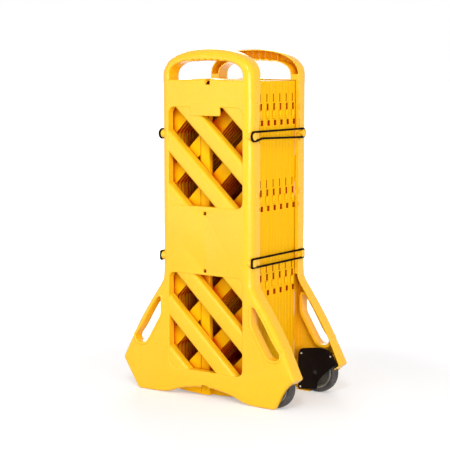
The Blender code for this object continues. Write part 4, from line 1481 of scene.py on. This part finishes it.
@dataclass
class GrillePanels:
    """The folded stack: half panels at both ends and twelve full panels between them."""

    layout: Layout
    finish: bpy.types.Material
    hinge_x: float = 0.147
    clearance: float = 0.0005
    turn_gap: float = 0.0006
    foot: float = 0.003
    sag: float = 0.009
    sag_steps: int = 14
    top: float = 0.925
    corner_reach: float = 0.004
    corner_steps: int = 3
    edge_round: float = 0.0012
    gap_round: float = 0.0016
    rim: float = 0.0025
    hinge_rim: float = 0.0135
    plate: float = 0.0035
    grille_rise: float = 0.060
    grille_count: int = 3
    stile: float = 0.040
    hinge_heights: tuple[float, float, float] = (0.82449, 0.57849, 0.33249)
    knuckle: float = 0.005
    lower_knuckle: float = 0.005
    upper_knuckle: float = 0.0155
    knuckle_space: float = 0.001
    knuckle_chamfer: float = 0.0006
    knuckle_sides: int = 20
    slot: tuple[float, float, float] = (0.0175, 0.0365, 0.0085)  # Low, high and width.
    square: tuple[float, float, float, float] = (-0.0265, -0.0112, 0.0030, 0.0156)  # Low, high, near and far.
    recess: float = 0.0125
    pin: float = 0.0022
    pin_rise: float = 0.0015
    pin_sides: int = 16
    groove: tuple[float, float, float] = (-0.0380, -0.0360, 0.0018)  # Left, right and depth.
    slit: tuple[float, float, float] = (0.0410, 0.0640, 0.0024)  # Low, high and half of its width.

    @property
    def thickness(self) -> float:
        """How thick one panel is."""
        return self.layout.panel_pitch - self.layout.panel_gap

    @property
    def half(self) -> float:
        """Half of a panel's width."""
        return self.hinge_x - self.clearance

    def panel_outline(self, left: float, right: float) -> list[Spot]:
        """Draws a panel, its foot edge bowed down at the middle of the barrier.

        Args:
            left: Its left edge.
            right: Its right edge.

        Returns:
            The corners, counterclockwise.
        """
        foot = []
        for step in range(self.sag_steps + 1):
            x = left + (right - left) * step / self.sag_steps
            foot.append((x, self.foot + self.sag * (x / self.hinge_x) ** 2))
        return eased([*foot, (right, self.top), (left, self.top)], self.corner_reach, self.corner_steps)

    def tray(
        self, front: float, left: float, right: float, grille: Span, plate_first: bool,
    ) -> bpy.types.Object:
        """Makes a panel without its hinges: a plate with a rim and an open grille at each window.

        Args:
            front: The panel's nearer face in y.
            left: Its left edge.
            right: Its right edge.
            grille: The left and right limits of its grilles.
            plate_first: Whether the plate lies at the nearer face and the rim behind it.

        Returns:
            The tray.
        """
        lay = self.layout
        back = front + self.thickness
        outline = self.panel_outline(left, right)
        radii = [self.edge_round] * len(outline)
        body = rounded_prism("panel", outline, front, back, radii, radii, steps=self.corner_steps)
        open_right = right - (self.hinge_rim if right > 0 else self.rim)
        hollow = clipped(inset(outline, [self.rim] * len(outline)), left + self.hinge_rim, open_right,
                         0.0, self.top)
        if plate_first:
            plate = (front, front + self.plate)
            body = shaped(body, Cut.AWAY, prism("pocket", hollow, plate[1], back + PAST))
        else:
            plate = (back - self.plate, back)
            body = shaped(body, Cut.AWAY, prism("pocket", hollow, front - PAST, plate[0]))
        gaps = []
        for middle in lay.window_middles:
            low, high = middle - lay.window_height / 2, middle + lay.window_height / 2
            for count in range(self.grille_count):
                height = middle + lay.brace_pitch * (count - (self.grille_count - 1) / 2)
                gap = clipped(band(height, 1, lay.brace_pitch - self.grille_rise, 2 * lay.half_body),
                              *grille, low, high)
                if gap:
                    gap = eased(gap, self.corner_reach, self.corner_steps)
                    gaps.append(flared("gap", gap, *plate, self.gap_round, both=True,
                                       steps=self.corner_steps))
        return shaped(body, Cut.AWAY, *gaps)

    def hinge(self, panel: bpy.types.Object, side: Side, plane: float, leaf: Leaf) -> bpy.types.Object:
        """Gives a panel its knuckles, pins and notches along one side.

        Args:
            panel: The panel.
            side: The side on which they lie.
            plane: The plane in y between the two panels that the hinge joins.
            leaf: Whether the panel lies before the plane or behind it.

        Returns:
            The panel.
        """
        edge, notch = side.value * self.hinge_x, self.knuckle + self.turn_gap
        near, far = plane - notch, plane + notch
        knuckles, notches, last = [], [], []
        for height in self.hinge_heights:
            split = height - self.clearance
            if leaf is Leaf.BEFORE:
                low, high = split - self.lower_knuckle, height
                start, end = split, height + self.upper_knuckle + self.knuckle_space
                last.append(rod("socket", Axis.Z, (edge, plane), low + self.knuckle_space, height,
                                self.pin + self.layout.seat_gap, self.pin_sides))
            else:
                low, high = split, height + self.upper_knuckle
                start, end = low - self.lower_knuckle - self.knuckle_space, height
                last.append(rod("pin", Axis.Z, (edge, plane), split - self.lower_knuckle + self.pin_rise,
                                height + self.pin, self.pin, self.pin_sides))
                slot_low, slot_high, slot_width = self.slot
                notches.append(self.recess_box(side, plane - PAST, plane + slot_width,
                                               height + slot_low, height + slot_high))
                square_low, square_high, square_near, square_far = self.square
                notches.append(self.recess_box(side, plane + square_near, plane + square_far,
                                               height + square_low, height + square_high))
            slit_low, slit_high, slit_half = self.slit
            notches.append(self.recess_box(side, plane - slit_half, plane + slit_half,
                                           height + slit_low, height + slit_high))
            chamfer = self.knuckle_chamfer
            profile = [(low, self.knuckle - chamfer), (low + chamfer, self.knuckle),
                       (high - chamfer, self.knuckle), (high, self.knuckle - chamfer)]
            knuckles.append(turned("knuckle", Axis.Z, (edge, plane), profile, self.knuckle_sides))
            inner, outer = sorted((edge - side.value * notch, edge + side.value * (self.knuckle + PAST)))
            notches.append(box("notch", (inner, near, start), (outer, far, end)))
        shaped(panel, Cut.ONTO, *knuckles)
        shaped(panel, Cut.AWAY, *notches)
        return shaped(panel, Cut.AWAY if leaf is Leaf.BEFORE else Cut.ONTO, *last)

    def recess_box(self, side: Side, near: float, far: float, low: float, high: float) -> bpy.types.Object:
        """Makes a cutter for a recess in a panel's edge, closed behind by the stile's inner wall.

        Args:
            side: The panel's side.
            near: The recess's nearer end in y.
            far: Its farther end in y.
            low: Its foot.
            high: Its top.

        Returns:
            The cutter.
        """
        inner, outer = sorted((side.value * (self.half - self.recess), side.value * (self.half + 2 * PAST)))
        return box("recess", (inner, near, low), (outer, far, high))

    def half_panel(self, front: float, leaf: Leaf) -> bpy.types.Object:
        """Makes a half panel between the barrier's left side and its centre line, with its centre knuckles.

        Args:
            front: Its nearer face in y.
            leaf: Whether it lies before the hinge at its side or behind it.

        Returns:
            The half panel.
        """
        lay = self.layout
        middle, edge = front + self.thickness / 2, -lay.centre_radius - self.turn_gap
        panel = self.tray(front, -self.half, edge, (-lay.window_half, -self.stile), leaf is Leaf.BEFORE)
        knuckles, holes = [], []
        for low, high in lay.centre_spans:
            start, end = low + lay.centre_ear + self.clearance, high - lay.centre_ear - self.clearance
            knuckles.append(box("bridge", (edge - self.rim / 2, middle - lay.centre_radius, start),
                                (-lay.centre_radius / 2, middle + lay.centre_radius, end)))
            knuckles.append(rod("centre knuckle", Axis.Z, (0.0, middle), start, end, lay.centre_radius))
            holes.append(rod("pin hole", Axis.Z, (0.0, middle), start - PAST, end + PAST,
                             lay.centre_pin + lay.seat_gap))
        shaped(panel, Cut.ONTO, *knuckles)
        face = front if leaf is Leaf.BEFORE else front + self.thickness
        left, right, depth = self.groove
        holes.append(box("groove", (left, face - depth, 0.0), (right, face + depth, self.top + PAST)))
        shaped(panel, Cut.AWAY, *holes)
        if leaf is Leaf.BEFORE:
            return self.hinge(panel, Side.LEFT, front + self.thickness + lay.panel_gap / 2, leaf)
        return self.hinge(panel, Side.LEFT, front - lay.panel_gap / 2, leaf)

    def dressed(self, panel: bpy.types.Object, name: str, node: str, body: str) -> bpy.types.Object:
        """Finishes a panel and sets it on its body.

        Args:
            panel: The panel, in place.
            name: Its name in the scene.
            node: The node that it stands for.
            body: The body that it moves with.

        Returns:
            The panel.
        """
        panel.name = name
        coated(panel, self.finish)
        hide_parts(node)
        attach(panel, body)
        return smooth(panel)

    def build(self) -> list[bpy.types.Object]:
        """Makes the whole stack.

        Returns:
            The front half panel, the full panels in order and the rear half panel.
        """
        lay = self.layout
        front = lay.back - lay.panel_pitch + lay.panel_gap / 2
        made = [self.dressed(self.half_panel(front, Leaf.BEFORE), "front_half_grille",
                             "front_half_panel", "front_half_panel")]
        sources: dict[tuple[Side, bool], bpy.types.Object] = {}
        for number in range(1, lay.panel_count + 1):
            side = Side.LEFT if number % 2 else Side.RIGHT
            other = Side.RIGHT if side is Side.LEFT else Side.LEFT
            plate_first = number <= lay.panel_count / 2
            if (side, plate_first) not in sources:
                panel = self.tray(lay.back + lay.panel_gap / 2, -self.half, self.half,
                                  (-lay.window_half, lay.window_half), plate_first)
                self.hinge(panel, side, lay.back, Leaf.BEHIND)
                sources[side, plate_first] = self.hinge(panel, other, lay.back + lay.panel_pitch, Leaf.BEFORE)
            mesh = sources[side, plate_first].data.copy()
            for vertex in mesh.vertices:
                vertex.co.y += lay.panel_pitch * (number - 1)
            node = f"panel_{number:02d}"
            made.append(self.dressed(linked("panel", mesh), f"grille_{number:02d}", node, node))
        for source in sources.values():
            bpy.data.objects.remove(source, do_unlink=True)
        rear = self.half_panel(-lay.back + lay.panel_gap / 2, Leaf.BEHIND)
        return [*made, self.dressed(rear, "rear_half_grille", "rear_half_panel", "rear_half_panel")]


@dataclass
class Wheels:
    """The two wheels in the right-hand feet: tyre, hub, axle bolt, cover plate and its screws."""

    layout: Layout
    rubber: bpy.types.Material
    # Pale rubber that paints a highlight on the tyres' inner lips.
    bead: bpy.types.Material
    hub_plastic: bpy.types.Material
    black_plastic: bpy.types.Material
    steel: bpy.types.Material
    dark_steel: bpy.types.Material
    depth: float = 0.032
    sides: int = 96
    axle_radius: float = 0.004
    axle_start: float = 0.0073
    axle_head: Spot = (0.0068, 0.004)  # Radius and height.
    head_shoulder: float = 0.7
    head_taper: float = 0.75
    head_sides: int = 6
    cover_thickness: float = 0.002
    cover_corner: float = 0.006
    cover_corner_steps: int = 5
    cover_round: float = 0.0006
    cover_round_steps: int = 3
    screw_head: Spot = (0.0030, 0.0016)  # Radius and height.
    screw_radius: float = 0.0015
    screw_length: float = 0.012
    screw_sides: int = 28
    dome_steps: int = 6
    dome_turn: float = 0.8
    cross_reach: float = 0.55
    cross_half: float = 0.0004
    cross_floor: float = 0.4
    # Profiles from the middle outwards: each point's radius and its offset along the axle.
    tread: tuple[Spot, ...] = (
        (0.04505, 0.0128), (0.0458, 0.0137), (0.0468, 0.0140), (0.0476, 0.0136), (0.0481, 0.0127),
        (0.0506, 0.0130), (0.0535, 0.0147), (0.0565, 0.0149), (0.0590, 0.0138), (0.0606, 0.0116),
        (0.0615, 0.0086), (0.0619, 0.0050), (0.0620, 0.0016),
    )
    # The tread points whose radii bound the painted highlight.
    bead_points: tuple[int, int] = (0, 4)
    dish: tuple[Spot, ...] = (
        (0.0447, 0.0120), (0.0425, 0.0124), (0.0400, 0.0108), (0.0376, 0.0052), (0.0300, 0.0046),
        (0.0190, 0.0050), (0.0153, 0.0062), (0.0135, 0.0120), (0.0120, 0.0136), (0.0080, 0.0138),
        (0.0045, 0.0136),
    )
    # The cover's corners and screws, in shares of the wheel's radius from its centre.
    cover: tuple[Spot, ...] = (
        (-0.968, -0.935), (0.081, -0.806), (0.129, -0.435), (0.323, -0.194), (0.855, 0.290), (1.145, 0.484),
        (0.887, 1.081), (0.548, 1.194), (0.274, 1.226), (-0.306, 1.161), (-0.823, 1.065), (-0.960, 0.871),
        (-0.984, 0.581),
    )
    cover_screws: tuple[Spot, ...] = ((-0.806, 0.839), (0.823, 0.855), (-0.839, -0.806))

    @property
    def seat(self) -> float:
        """The place in y on which the heads of the axle and of the cover's screws lie."""
        return self.layout.back + self.cover_thickness + 2 * self.layout.seat_gap

    def spot(self, across: float, up: float) -> Spot:
        """A place given in shares of the wheel's radius from its centre."""
        lay = self.layout
        return lay.wheel_x + lay.wheel_radius * across, lay.wheel_radius * (1 + up)

    def screw_spots(self) -> list[Spot]:
        """Where the cover's screws stand, in x and z."""
        return [self.spot(*share) for share in self.cover_screws]

    def lathed(self, name: str, profile: Sequence[Spot]) -> bpy.types.Object:
        """Turns a closed profile about the front wheel's axle.

        Args:
            name: The object's name.
            profile: Pairs of radius and offset along the axle.

        Returns:
            The ring.
        """
        lay = self.layout
        rings = []
        for across, up in circle(1.0, self.sides):
            rings.append([(lay.wheel_x + r * across, lay.face + self.depth + y, lay.wheel_radius + r * up)
                          for r, y in profile])
        return looped(name, rings)

    def both_faces(self, profile: Sequence[Spot]) -> list[Spot]:
        """Completes a profile with its mirror image across the wheel's middle plane."""
        return [*profile, *((radius, -offset) for radius, offset in reversed(profile))]

    def tyre(self) -> bpy.types.Object:
        """Makes the front tyre, with a painted highlight: pale rubber on each sidewall's inner lip.

        Returns:
            The tyre.
        """
        made = coated(self.lathed("tyre", self.both_faces(self.tread)), self.rubber, self.bead)
        low, high = (self.tread[i][0] for i in self.bead_points)
        for face in made.data.polygons:
            x, y, z = face.center
            reach = math.dist((x, z), self.layout.axle)
            out = abs(y - self.layout.face - self.depth)
            face.material_index = int(low < reach < high and out > self.tread[0][1])
        return made

    def hub(self) -> bpy.types.Object:
        """Makes the front wheel's dished hub, with its bore.

        Returns:
            The hub.
        """
        return coated(self.lathed("hub", self.both_faces(self.dish)), self.hub_plastic)

    def axle(self) -> bpy.types.Object:
        """Makes the axle bolt of the front wheel: a shank and a chamfered hexagonal head.

        Returns:
            The bolt.
        """
        lay, seat, (radius, height) = self.layout, self.seat, self.axle_head
        bolt = rod("axle", Axis.Y, lay.axle, lay.face + self.axle_start, seat + height / 2, self.axle_radius)
        profile = [(seat, radius), (seat + self.head_shoulder * height, radius),
                   (seat + height, self.head_taper * radius)]
        x, z = lay.axle
        hexagon = [(x + a, z + b) for a, b in circle(radius, self.head_sides)]
        head = prism("head", hexagon, seat, seat + height)
        shaped(head, Cut.WITHIN, turned("chamfer", Axis.Y, lay.axle, profile))
        return coated(shaped(bolt, Cut.ONTO, head), self.dark_steel)

    def cover_plate(self) -> bpy.types.Object:
        """Makes the plate that covers the front wheel from inside.

        Returns:
            The plate.
        """
        lay = self.layout
        corners = [self.spot(*share) for share in self.cover]
        outline = eased(corners, self.cover_corner, self.cover_corner_steps)
        front = lay.back + lay.seat_gap
        back = front + self.cover_thickness
        radii = [self.cover_round] * len(outline)
        plate = rounded_prism("cover", outline, front, back, radii, radii, steps=self.cover_round_steps)
        holes = [rod("hole", Axis.Y, spot, front - PAST, back + PAST, lay.screw_hole)
                 for spot in self.screw_spots()]
        holes.append(rod("axle hole", Axis.Y, lay.axle, front - PAST, back + PAST,
                         self.axle_radius + lay.seat_gap))
        return coated(shaped(plate, Cut.AWAY, *holes), self.black_plastic)

    def cover_screw(self, spot: Spot) -> bpy.types.Object:
        """Makes one screw of the cover, with a domed head and a cross recess.

        Args:
            spot: Where the screw stands, in x and z.

        Returns:
            The screw.
        """
        seat, (radius, height) = self.seat, self.screw_head
        profile = [(seat - self.screw_length, self.screw_radius), (seat, self.screw_radius), (seat, radius)]
        for step in range(1, self.dome_steps):
            turn = math.pi / 2 * step / self.dome_steps
            profile.append((seat + height * math.sin(turn), radius * math.cos(turn * self.dome_turn)))
        screw = turned("screw", Axis.Y, spot, profile, self.screw_sides)
        x, z = spot
        arm, half, floor = self.cross_reach * radius, self.cross_half, seat + self.cross_floor * height
        shaped(screw, Cut.AWAY,
               box("slot", (x - arm, floor, z - half), (x + arm, seat + 2 * height, z + half)),
               box("slot", (x - half, floor, z - arm), (x + half, seat + 2 * height, z + arm)))
        return coated(screw, self.steel)

    def build(self) -> list[bpy.types.Object]:
        """Makes the pieces of both wheels.

        Returns:
            Every piece, those of the front wheel first.
        """
        sources = [
            ("tyre", self.tyre(), "wheel", "tyre"),
            ("hub", self.hub(), "wheel", "hub_plastic"),
            ("axle", self.axle(), "frame", "steel"),
            ("wheel_cover", self.cover_plate(), "frame", "black_plastic"),
        ]
        for number, spot in enumerate(self.screw_spots(), 1):
            sources.append((f"cover_screw_{number}", self.cover_screw(spot), "frame", "steel"))
        made = []
        for end in End:
            for node, source, body, slot in sources:
                piece = source if end is End.FRONT else mirrored(source, "rear")
                made.append((end, node, piece, body, slot))
        for end, node, piece, body, slot in made:
            piece.name = f"{end.word}_{node}_piece"
            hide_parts(f"{end.word}_{node}")
            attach(piece, f"{end.word}_{body}")
            smooth(piece)
        return [piece for _, _, piece, _, _ in made]


@dataclass
class CordButtons:
    """The eight buttons that hold the elastic loops: round ones above, square blocks below."""

    layout: Layout
    finish: bpy.types.Material
    block_corner: float = 0.0022
    block_steps: int = 4
    sides: int = 36
    flange: float = 0.0012
    flange_round: float = 0.0006
    cap: float = 0.0010
    cap_round: float = 0.0010
    cap_steps: int = 5
    peg_length: float = 0.006
    sharp_angle: float = 40.0

    def levels(self, side: Side) -> list[Spot]:
        """Lists how far the button's outline grows at each place along x, from its seat to its top.

        Args:
            side: The barrier's side that the button stands on.

        Returns:
            Pairs of place along x and growth.
        """
        lay = self.layout
        seat = lay.half_body + lay.seat_gap
        lip = seat + 2 * (lay.cord_radius + lay.cord_gap)
        levels = [(seat, 0.0), (lip - self.flange_round, 0.0), (lip, self.flange - self.flange_round),
                  (lip + self.flange_round, self.flange)]
        for step in range(self.cap_steps + 1):
            turn = math.pi / 2 * step / self.cap_steps
            levels.append((lip + self.cap - self.cap_round * (1 - math.sin(turn)),
                           self.flange - self.cap_round * (1 - math.cos(turn))))
        return [(side.value * x, grown) for x, grown in levels]

    def button(self, side: Side, end: End, height: float, square: bool) -> bpy.types.Object:
        """Makes one button.

        Args:
            side: The barrier's side that it stands on.
            end: The end frame that it belongs to.
            height: Its height.
            square: Whether it is a block rather than a round button.

        Returns:
            The button.
        """
        lay = self.layout
        y = lay.button_y(end)
        if square:
            across, up = lay.button_block
            outline = rounded_rectangle(across, height - up, height + up, self.block_corner, self.block_steps)
        else:
            outline = [(a, height + b) for a, b in circle(lay.button_radius, self.sides)]
        rings = [[(x, y + a, b) for a, b in inset(outline, [-grown] * len(outline))]
                 for x, grown in self.levels(side)]
        made = stacked("button", rings)
        start, stop = (side.value * (lay.half_body + lay.seat_gap + shift)
                       for shift in (-self.peg_length, lay.cord_radius))
        return shaped(made, Cut.ONTO, rod("peg", Axis.X, (y, height), start, stop, lay.peg))

    def build(self) -> list[bpy.types.Object]:
        """Makes all eight buttons.

        Returns:
            The buttons.
        """
        lay, made = self.layout, []
        for end in End:
            for side in Side:
                for word, height, square in lay.loops:
                    piece = coated(self.button(side, end, height, square), self.finish)
                    piece.name = f"{end.word}_{word}_{side.word}_knob"
                    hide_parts(f"{end.word}_{word}_{side.word}_button")
                    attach(piece, f"{end.word}_frame")
                    made.append(smooth(piece, self.sharp_angle))
        return made


@dataclass
class ElasticLoops:
    """The four closed elastic cords that are stretched from a front button to the rear button behind it."""

    layout: Layout
    finish: bpy.types.Material
    block_bend: float = 0.0032
    bend_steps: int = 8
    sides: int = 16
    pinch: float = 0.0062
    pinch_places: Span = (0.018, 0.060)
    run_steps: int = 30
    sharp_angle: float = 60.0
    keep: float = 0.3

    def path(self, height: float, square: bool) -> list[Spot]:
        """Draws the cord's closed centre line.

        Args:
            height: The height of the buttons.
            square: Whether the buttons are blocks rather than round.

        Returns:
            The points in y and z, in order round the loop.
        """
        lay = self.layout
        clear = lay.cord_radius + lay.cord_gap
        across, up = lay.button_block if square else (lay.button_radius, lay.button_radius)
        reach, half = across + clear, up + clear
        bend = self.block_bend if square else reach
        front, back = lay.button_y(End.FRONT) - reach, lay.button_y(End.REAR) + reach
        path: list[Spot] = []
        for y, z, start in ((back, -half, -1 / 2), (back, half, 0), (front, half, 1 / 2), (front, -half, 1)):
            cy, cz = y + (-bend if y == back else bend), z + (-bend if z > 0 else bend)
            for step in range(self.bend_steps + 1):
                turn = math.pi * (start + step / self.bend_steps / 2)
                spot = (cy + bend * math.cos(turn), height + cz + bend * math.sin(turn))
                if not path or math.dist(spot, path[-1]) > lay.cord_gap:
                    path.append(spot)
        if math.dist(path[0], path[-1]) <= lay.cord_gap:
            path.pop()
        (y0, z0), (y1, z1) = path[-1], path[0]
        path += [(y0 + (y1 - y0) * i / self.run_steps, z0 + (z1 - z0) * i / self.run_steps)
                 for i in range(1, self.run_steps)]
        return path if square else [self.pinched(y, z, height, front, back) for y, z in path]

    def pinched(self, y: float, z: float, height: float, front: float, back: float) -> Spot:
        """Draws the lower strand up just behind the front button, from where it widens to the rear one.

        Args:
            y: The point's place in y.
            z: The point's height.
            height: The height of the buttons.
            front: The front end of the loop in y.
            back: Its rear end.

        Returns:
            The point's new place.
        """
        if z >= height:
            return y, z
        start, end = (front + place for place in self.pinch_places)
        rise = min(1.0, max(0.0, (y - start) / (end - start)))
        fall = min(1.0, max(0.0, (back - y) / (back - end)))
        return y, z + self.pinch * rise * rise * (3 - 2 * rise) * fall

    def loop(self, side: Side, height: float, square: bool) -> bpy.types.Object:
        """Makes one loop as a closed tube.

        Args:
            side: The barrier's side that it lies on.
            height: The height of its buttons.
            square: Whether its buttons are blocks.

        Returns:
            The loop.
        """
        lay = self.layout
        x = side.value * (lay.half_body + lay.seat_gap + lay.cord_gap + lay.cord_radius)
        path = self.path(height, square)
        rings = []
        for i, (y, z) in enumerate(path):
            (y0, z0), (y1, z1) = path[i - 1], path[(i + 1) % len(path)]
            length = math.hypot(y1 - y0, z1 - z0)
            out = ((z1 - z0) / length, -(y1 - y0) / length)
            rings.append([(x + a, y + out[0] * b, z + out[1] * b)
                          for a, b in circle(lay.cord_radius, self.sides)])
        return looped("loop", rings)

    def build(self) -> list[bpy.types.Object]:
        """Makes the four loops.

        Returns:
            The loops.
        """
        lay, made = self.layout, []
        for side in Side:
            for word, height, square in lay.loops:
                piece = coated(self.loop(side, height, square), self.finish)
                piece.name = f"{word}_{side.word}_cord"
                smooth(piece, self.sharp_angle)
                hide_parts(f"{word}_{side.word}_loop")
                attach(piece, "front_frame")
                lay.button_y(End.FRONT)
                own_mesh(piece)
                made.append(piece)
        return made


@dataclass
class Studio:
    """The camera, lamps and white paper round the barrier."""

    paper: bpy.types.Material
    camera_place: Point = (2.317, -3.3895, 0.984)
    camera_target: Point = (-0.0329, -0.0025, 0.4957)
    lens: float = 111.34
    sensor: float = 36.0
    clip_end: float = 60.0
    floor_half: float = 60.0
    floor_thickness: float = 0.002
    ambient: float = 0.51
    sun_direction: Point = (-0.4, -2.4, 1.5)
    sun_strength: float = 0.45
    sun_spread: float = 34.0
    # Each lamp's name, place, target, width in metres and power in watts.
    lamps: tuple[tuple[str, Point, Point, float, float], ...] = (
        ("left softbox", (-2.4, -3.3, 0.9), (0.0, -0.1, 0.5), 3.0, 34.0),
        ("key softbox", (4.3, -4.1, 1.2), (0.0, -0.1, 0.5), 2.4, 124.0),
        ("corner softbox", (2.95, -1.6, 0.7), (0.1, 0.0, 0.5), 0.5, 20.0),
        ("ridge softbox", (1.6, -2.6, 2.9), (0.0, -0.1, 0.5), 0.9, 48.0),
        ("back softbox", (-2.4, 3.2, 1.6), (0.0, 0.1, 0.5), 2.0, 60.0),
    )

    def aimed(self, name: str, data: bpy.types.ID, place: Point, target: Point) -> bpy.types.Object:
        """Puts a camera or lamp in place and turns it towards a target.

        Args:
            name: The object's name.
            data: The camera or lamp.
            place: Where it stands.
            target: The point that it looks at.

        Returns:
            The object.
        """
        made = linked(name, data)
        made.location = place
        direction = made.location.copy()
        direction.xyz = [t - p for t, p in zip(target, place)]
        made.rotation_euler = direction.to_track_quat("-Z", "Y").to_euler()
        return made

    def camera(self) -> bpy.types.Object:
        """Sets up the camera that takes the photograph's view.

        Returns:
            The camera.
        """
        data = bpy.data.cameras.new("camera")
        data.lens = self.lens
        data.sensor_width = self.sensor
        data.clip_end = self.clip_end
        made = self.aimed("camera", data, self.camera_place, self.camera_target)
        bpy.context.scene.camera = made
        return made

    def lights(self) -> list[bpy.types.Object]:
        """Sets up the large soft lamps and the sun.

        Returns:
            The lamps, the sun last.
        """
        made = []
        for name, place, target, size, power in self.lamps:
            data = bpy.data.lights.new(name, "AREA")
            data.shape = "DISK"
            data.size = size
            data.energy = power
            made.append(self.aimed(name, data, place, target))
        data = bpy.data.lights.new("sun", "SUN")
        data.energy = self.sun_strength
        data.angle = math.radians(self.sun_spread)
        return [*made, self.aimed("sun", data, self.sun_direction, (0.0, 0.0, 0.0))]

    def world(self) -> None:
        """Makes the surroundings: pure white to the camera and in reflections, dimmer as a light."""
        world = bpy.data.worlds.new("studio")
        bpy.context.scene.world = world
        world.use_nodes = True
        tree = world.node_tree
        background = tree.nodes["Background"]
        background.inputs["Color"].default_value = WHITE
        path = tree.nodes.new("ShaderNodeLightPath")
        seen = path.outputs["Is Camera Ray"]
        for kind in ("Is Glossy Ray", "Is Transmission Ray"):
            either = tree.nodes.new("ShaderNodeMath")
            either.operation = "MAXIMUM"
            tree.links.new(seen, either.inputs[0])
            tree.links.new(path.outputs[kind], either.inputs[1])
            seen = either.outputs[0]
        strength = tree.nodes.new("ShaderNodeMapRange")
        strength.inputs["To Min"].default_value = self.ambient
        strength.inputs["To Max"].default_value = 1.0
        tree.links.new(seen, strength.inputs["Value"])
        tree.links.new(strength.outputs["Result"], background.inputs["Strength"])

    def floor(self) -> bpy.types.Object:
        """Lays the sheet of white paper that the barrier stands on.

        Returns:
            The sheet.
        """
        half, under = self.floor_half, -self.floor_thickness
        made = coated(box("floor", (-half, -half, under), (half, half, 0.0)), self.paper)
        return made

    def build(self) -> None:
        """Sets up the whole studio."""
        self.camera()
        self.lights()
        self.world()
        self.floor()
        bpy.context.scene.view_settings.view_transform = "Standard"


@dataclass
class Barrier:
    """The whole barrier, with the finishes that its pieces share."""

    layout: Layout = field(default_factory=Layout)
    frame_plastic: MouldedPlastic = MouldedPlastic(
        "frame_plastic", (0.90, 0.490, 0.012, 1), (0.88, 0.470, 0.010, 1), (0.95, 0.54, 0.02, 1),
        roughness=(0.20, 0.30), specular=0.32)
    panel_plastic: MouldedPlastic = MouldedPlastic(
        "panel_plastic", (0.90, 0.465, 0.002, 1), (0.87, 0.435, 0.001, 1), (0.94, 0.52, 0.01, 1),
        specular=0.05,
        # Painted shade: maroon in the holes through the folded stack, deep orange between the panels.
        crevices=(Crevice(0.03, 0.35, 0.60, (0.66, 0.20, 0.03, 1.0)),
                  Crevice(0.12, 0.30, 0.42, (0.78, 0.10, 0.01, 1.0))),
        crevices_alone=False, lit_foot=(0.045, 0.075))
    black_plastic: MouldedPlastic = MouldedPlastic(
        "black_plastic", (0.005, 0.0025, 0.002, 1), (0.009, 0.005, 0.004, 1), (0.02, 0.016, 0.014, 1),
        roughness=(0.55, 0.7), specular=0.03, grain=0.00008, swell=0.0001)
    hub_plastic: MouldedPlastic = MouldedPlastic(
        "hub_plastic", (0.055, 0.050, 0.036, 1), (0.075, 0.070, 0.052, 1), (0.14, 0.13, 0.10, 1),
        roughness=(0.38, 0.55), grain=0.00006, swell=0.0001)
    # Pale rubber painted on the tyres' inner lips as a highlight.
    bead_rubber: Rubber = Rubber("tyre_bead", (0.15, 0.145, 0.135, 1), (0.24, 0.23, 0.21, 1), (0.55, 0.75))
    tyre_rubber: Rubber = Rubber()
    braid: BraidedCord = BraidedCord()
    pin_steel: Metal = Metal("yellow_zinc", (0.62, 0.40, 0.12, 1), (0.50, 0.31, 0.08, 1), (0.45, 0.6), 0.5)
    steel: Metal = Metal("zinc_steel", (0.72, 0.71, 0.68, 1), (0.48, 0.47, 0.44, 1))
    dark_steel: Metal = Metal(
        "blackened_steel", (0.012, 0.010, 0.009, 1), (0.024, 0.020, 0.018, 1), (0.6, 0.75), 0.3)

    def pins(self, frame: dict, steel: bpy.types.Material) -> None:
        """Gives the centre hinge pins, which the model already holds in full, their finish.

        Args:
            frame: The loaded model.
            steel: The finish.
        """
        for end in End:
            for place in ("top", "middle", "bottom"):
                coated(frame["nodes"][f"{end.word}_{place}_centre_pin"], steel)

    def build(self, frame: dict) -> None:
        """Builds and dresses every piece over its node.

        Args:
            frame: The loaded model.
        """
        lay = self.layout
        yellow, amber = self.frame_plastic.build(), self.panel_plastic.build()
        steel, dark = self.steel.build(), self.dark_steel.build()
        wheels = Wheels(lay, self.tyre_rubber.build(), self.bead_rubber.build(), self.hub_plastic.build(),
                        self.black_plastic.build(), steel, dark)
        report("end frames", EndFrame(lay, yellow).build(wheels.screw_spots()))
        report("grille panels", GrillePanels(lay, amber).build())
        report("wheels", wheels.build())
        report("cord buttons", CordButtons(lay, yellow).build())
        report("elastic loops", ElasticLoops(lay, self.braid.build()).build())
        self.pins(frame, self.pin_steel.build())


def report(group: str, pieces: Sequence[bpy.types.Object]) -> None:
    """Logs each piece of a group with its count of faces."""
    for piece in pieces:
        LOG.info("%s: %s, %d faces", group, piece.name, len(piece.data.polygons))


def main() -> None:
    """Loads the model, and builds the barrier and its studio."""
    logging.basicConfig(level=logging.INFO, format="%(name)s: %(message)s", stream=sys.stdout)
    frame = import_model()
    Barrier().build(frame)
    Studio(StudioSurface().build()).build()


if __name__ == "__main__":
    main()
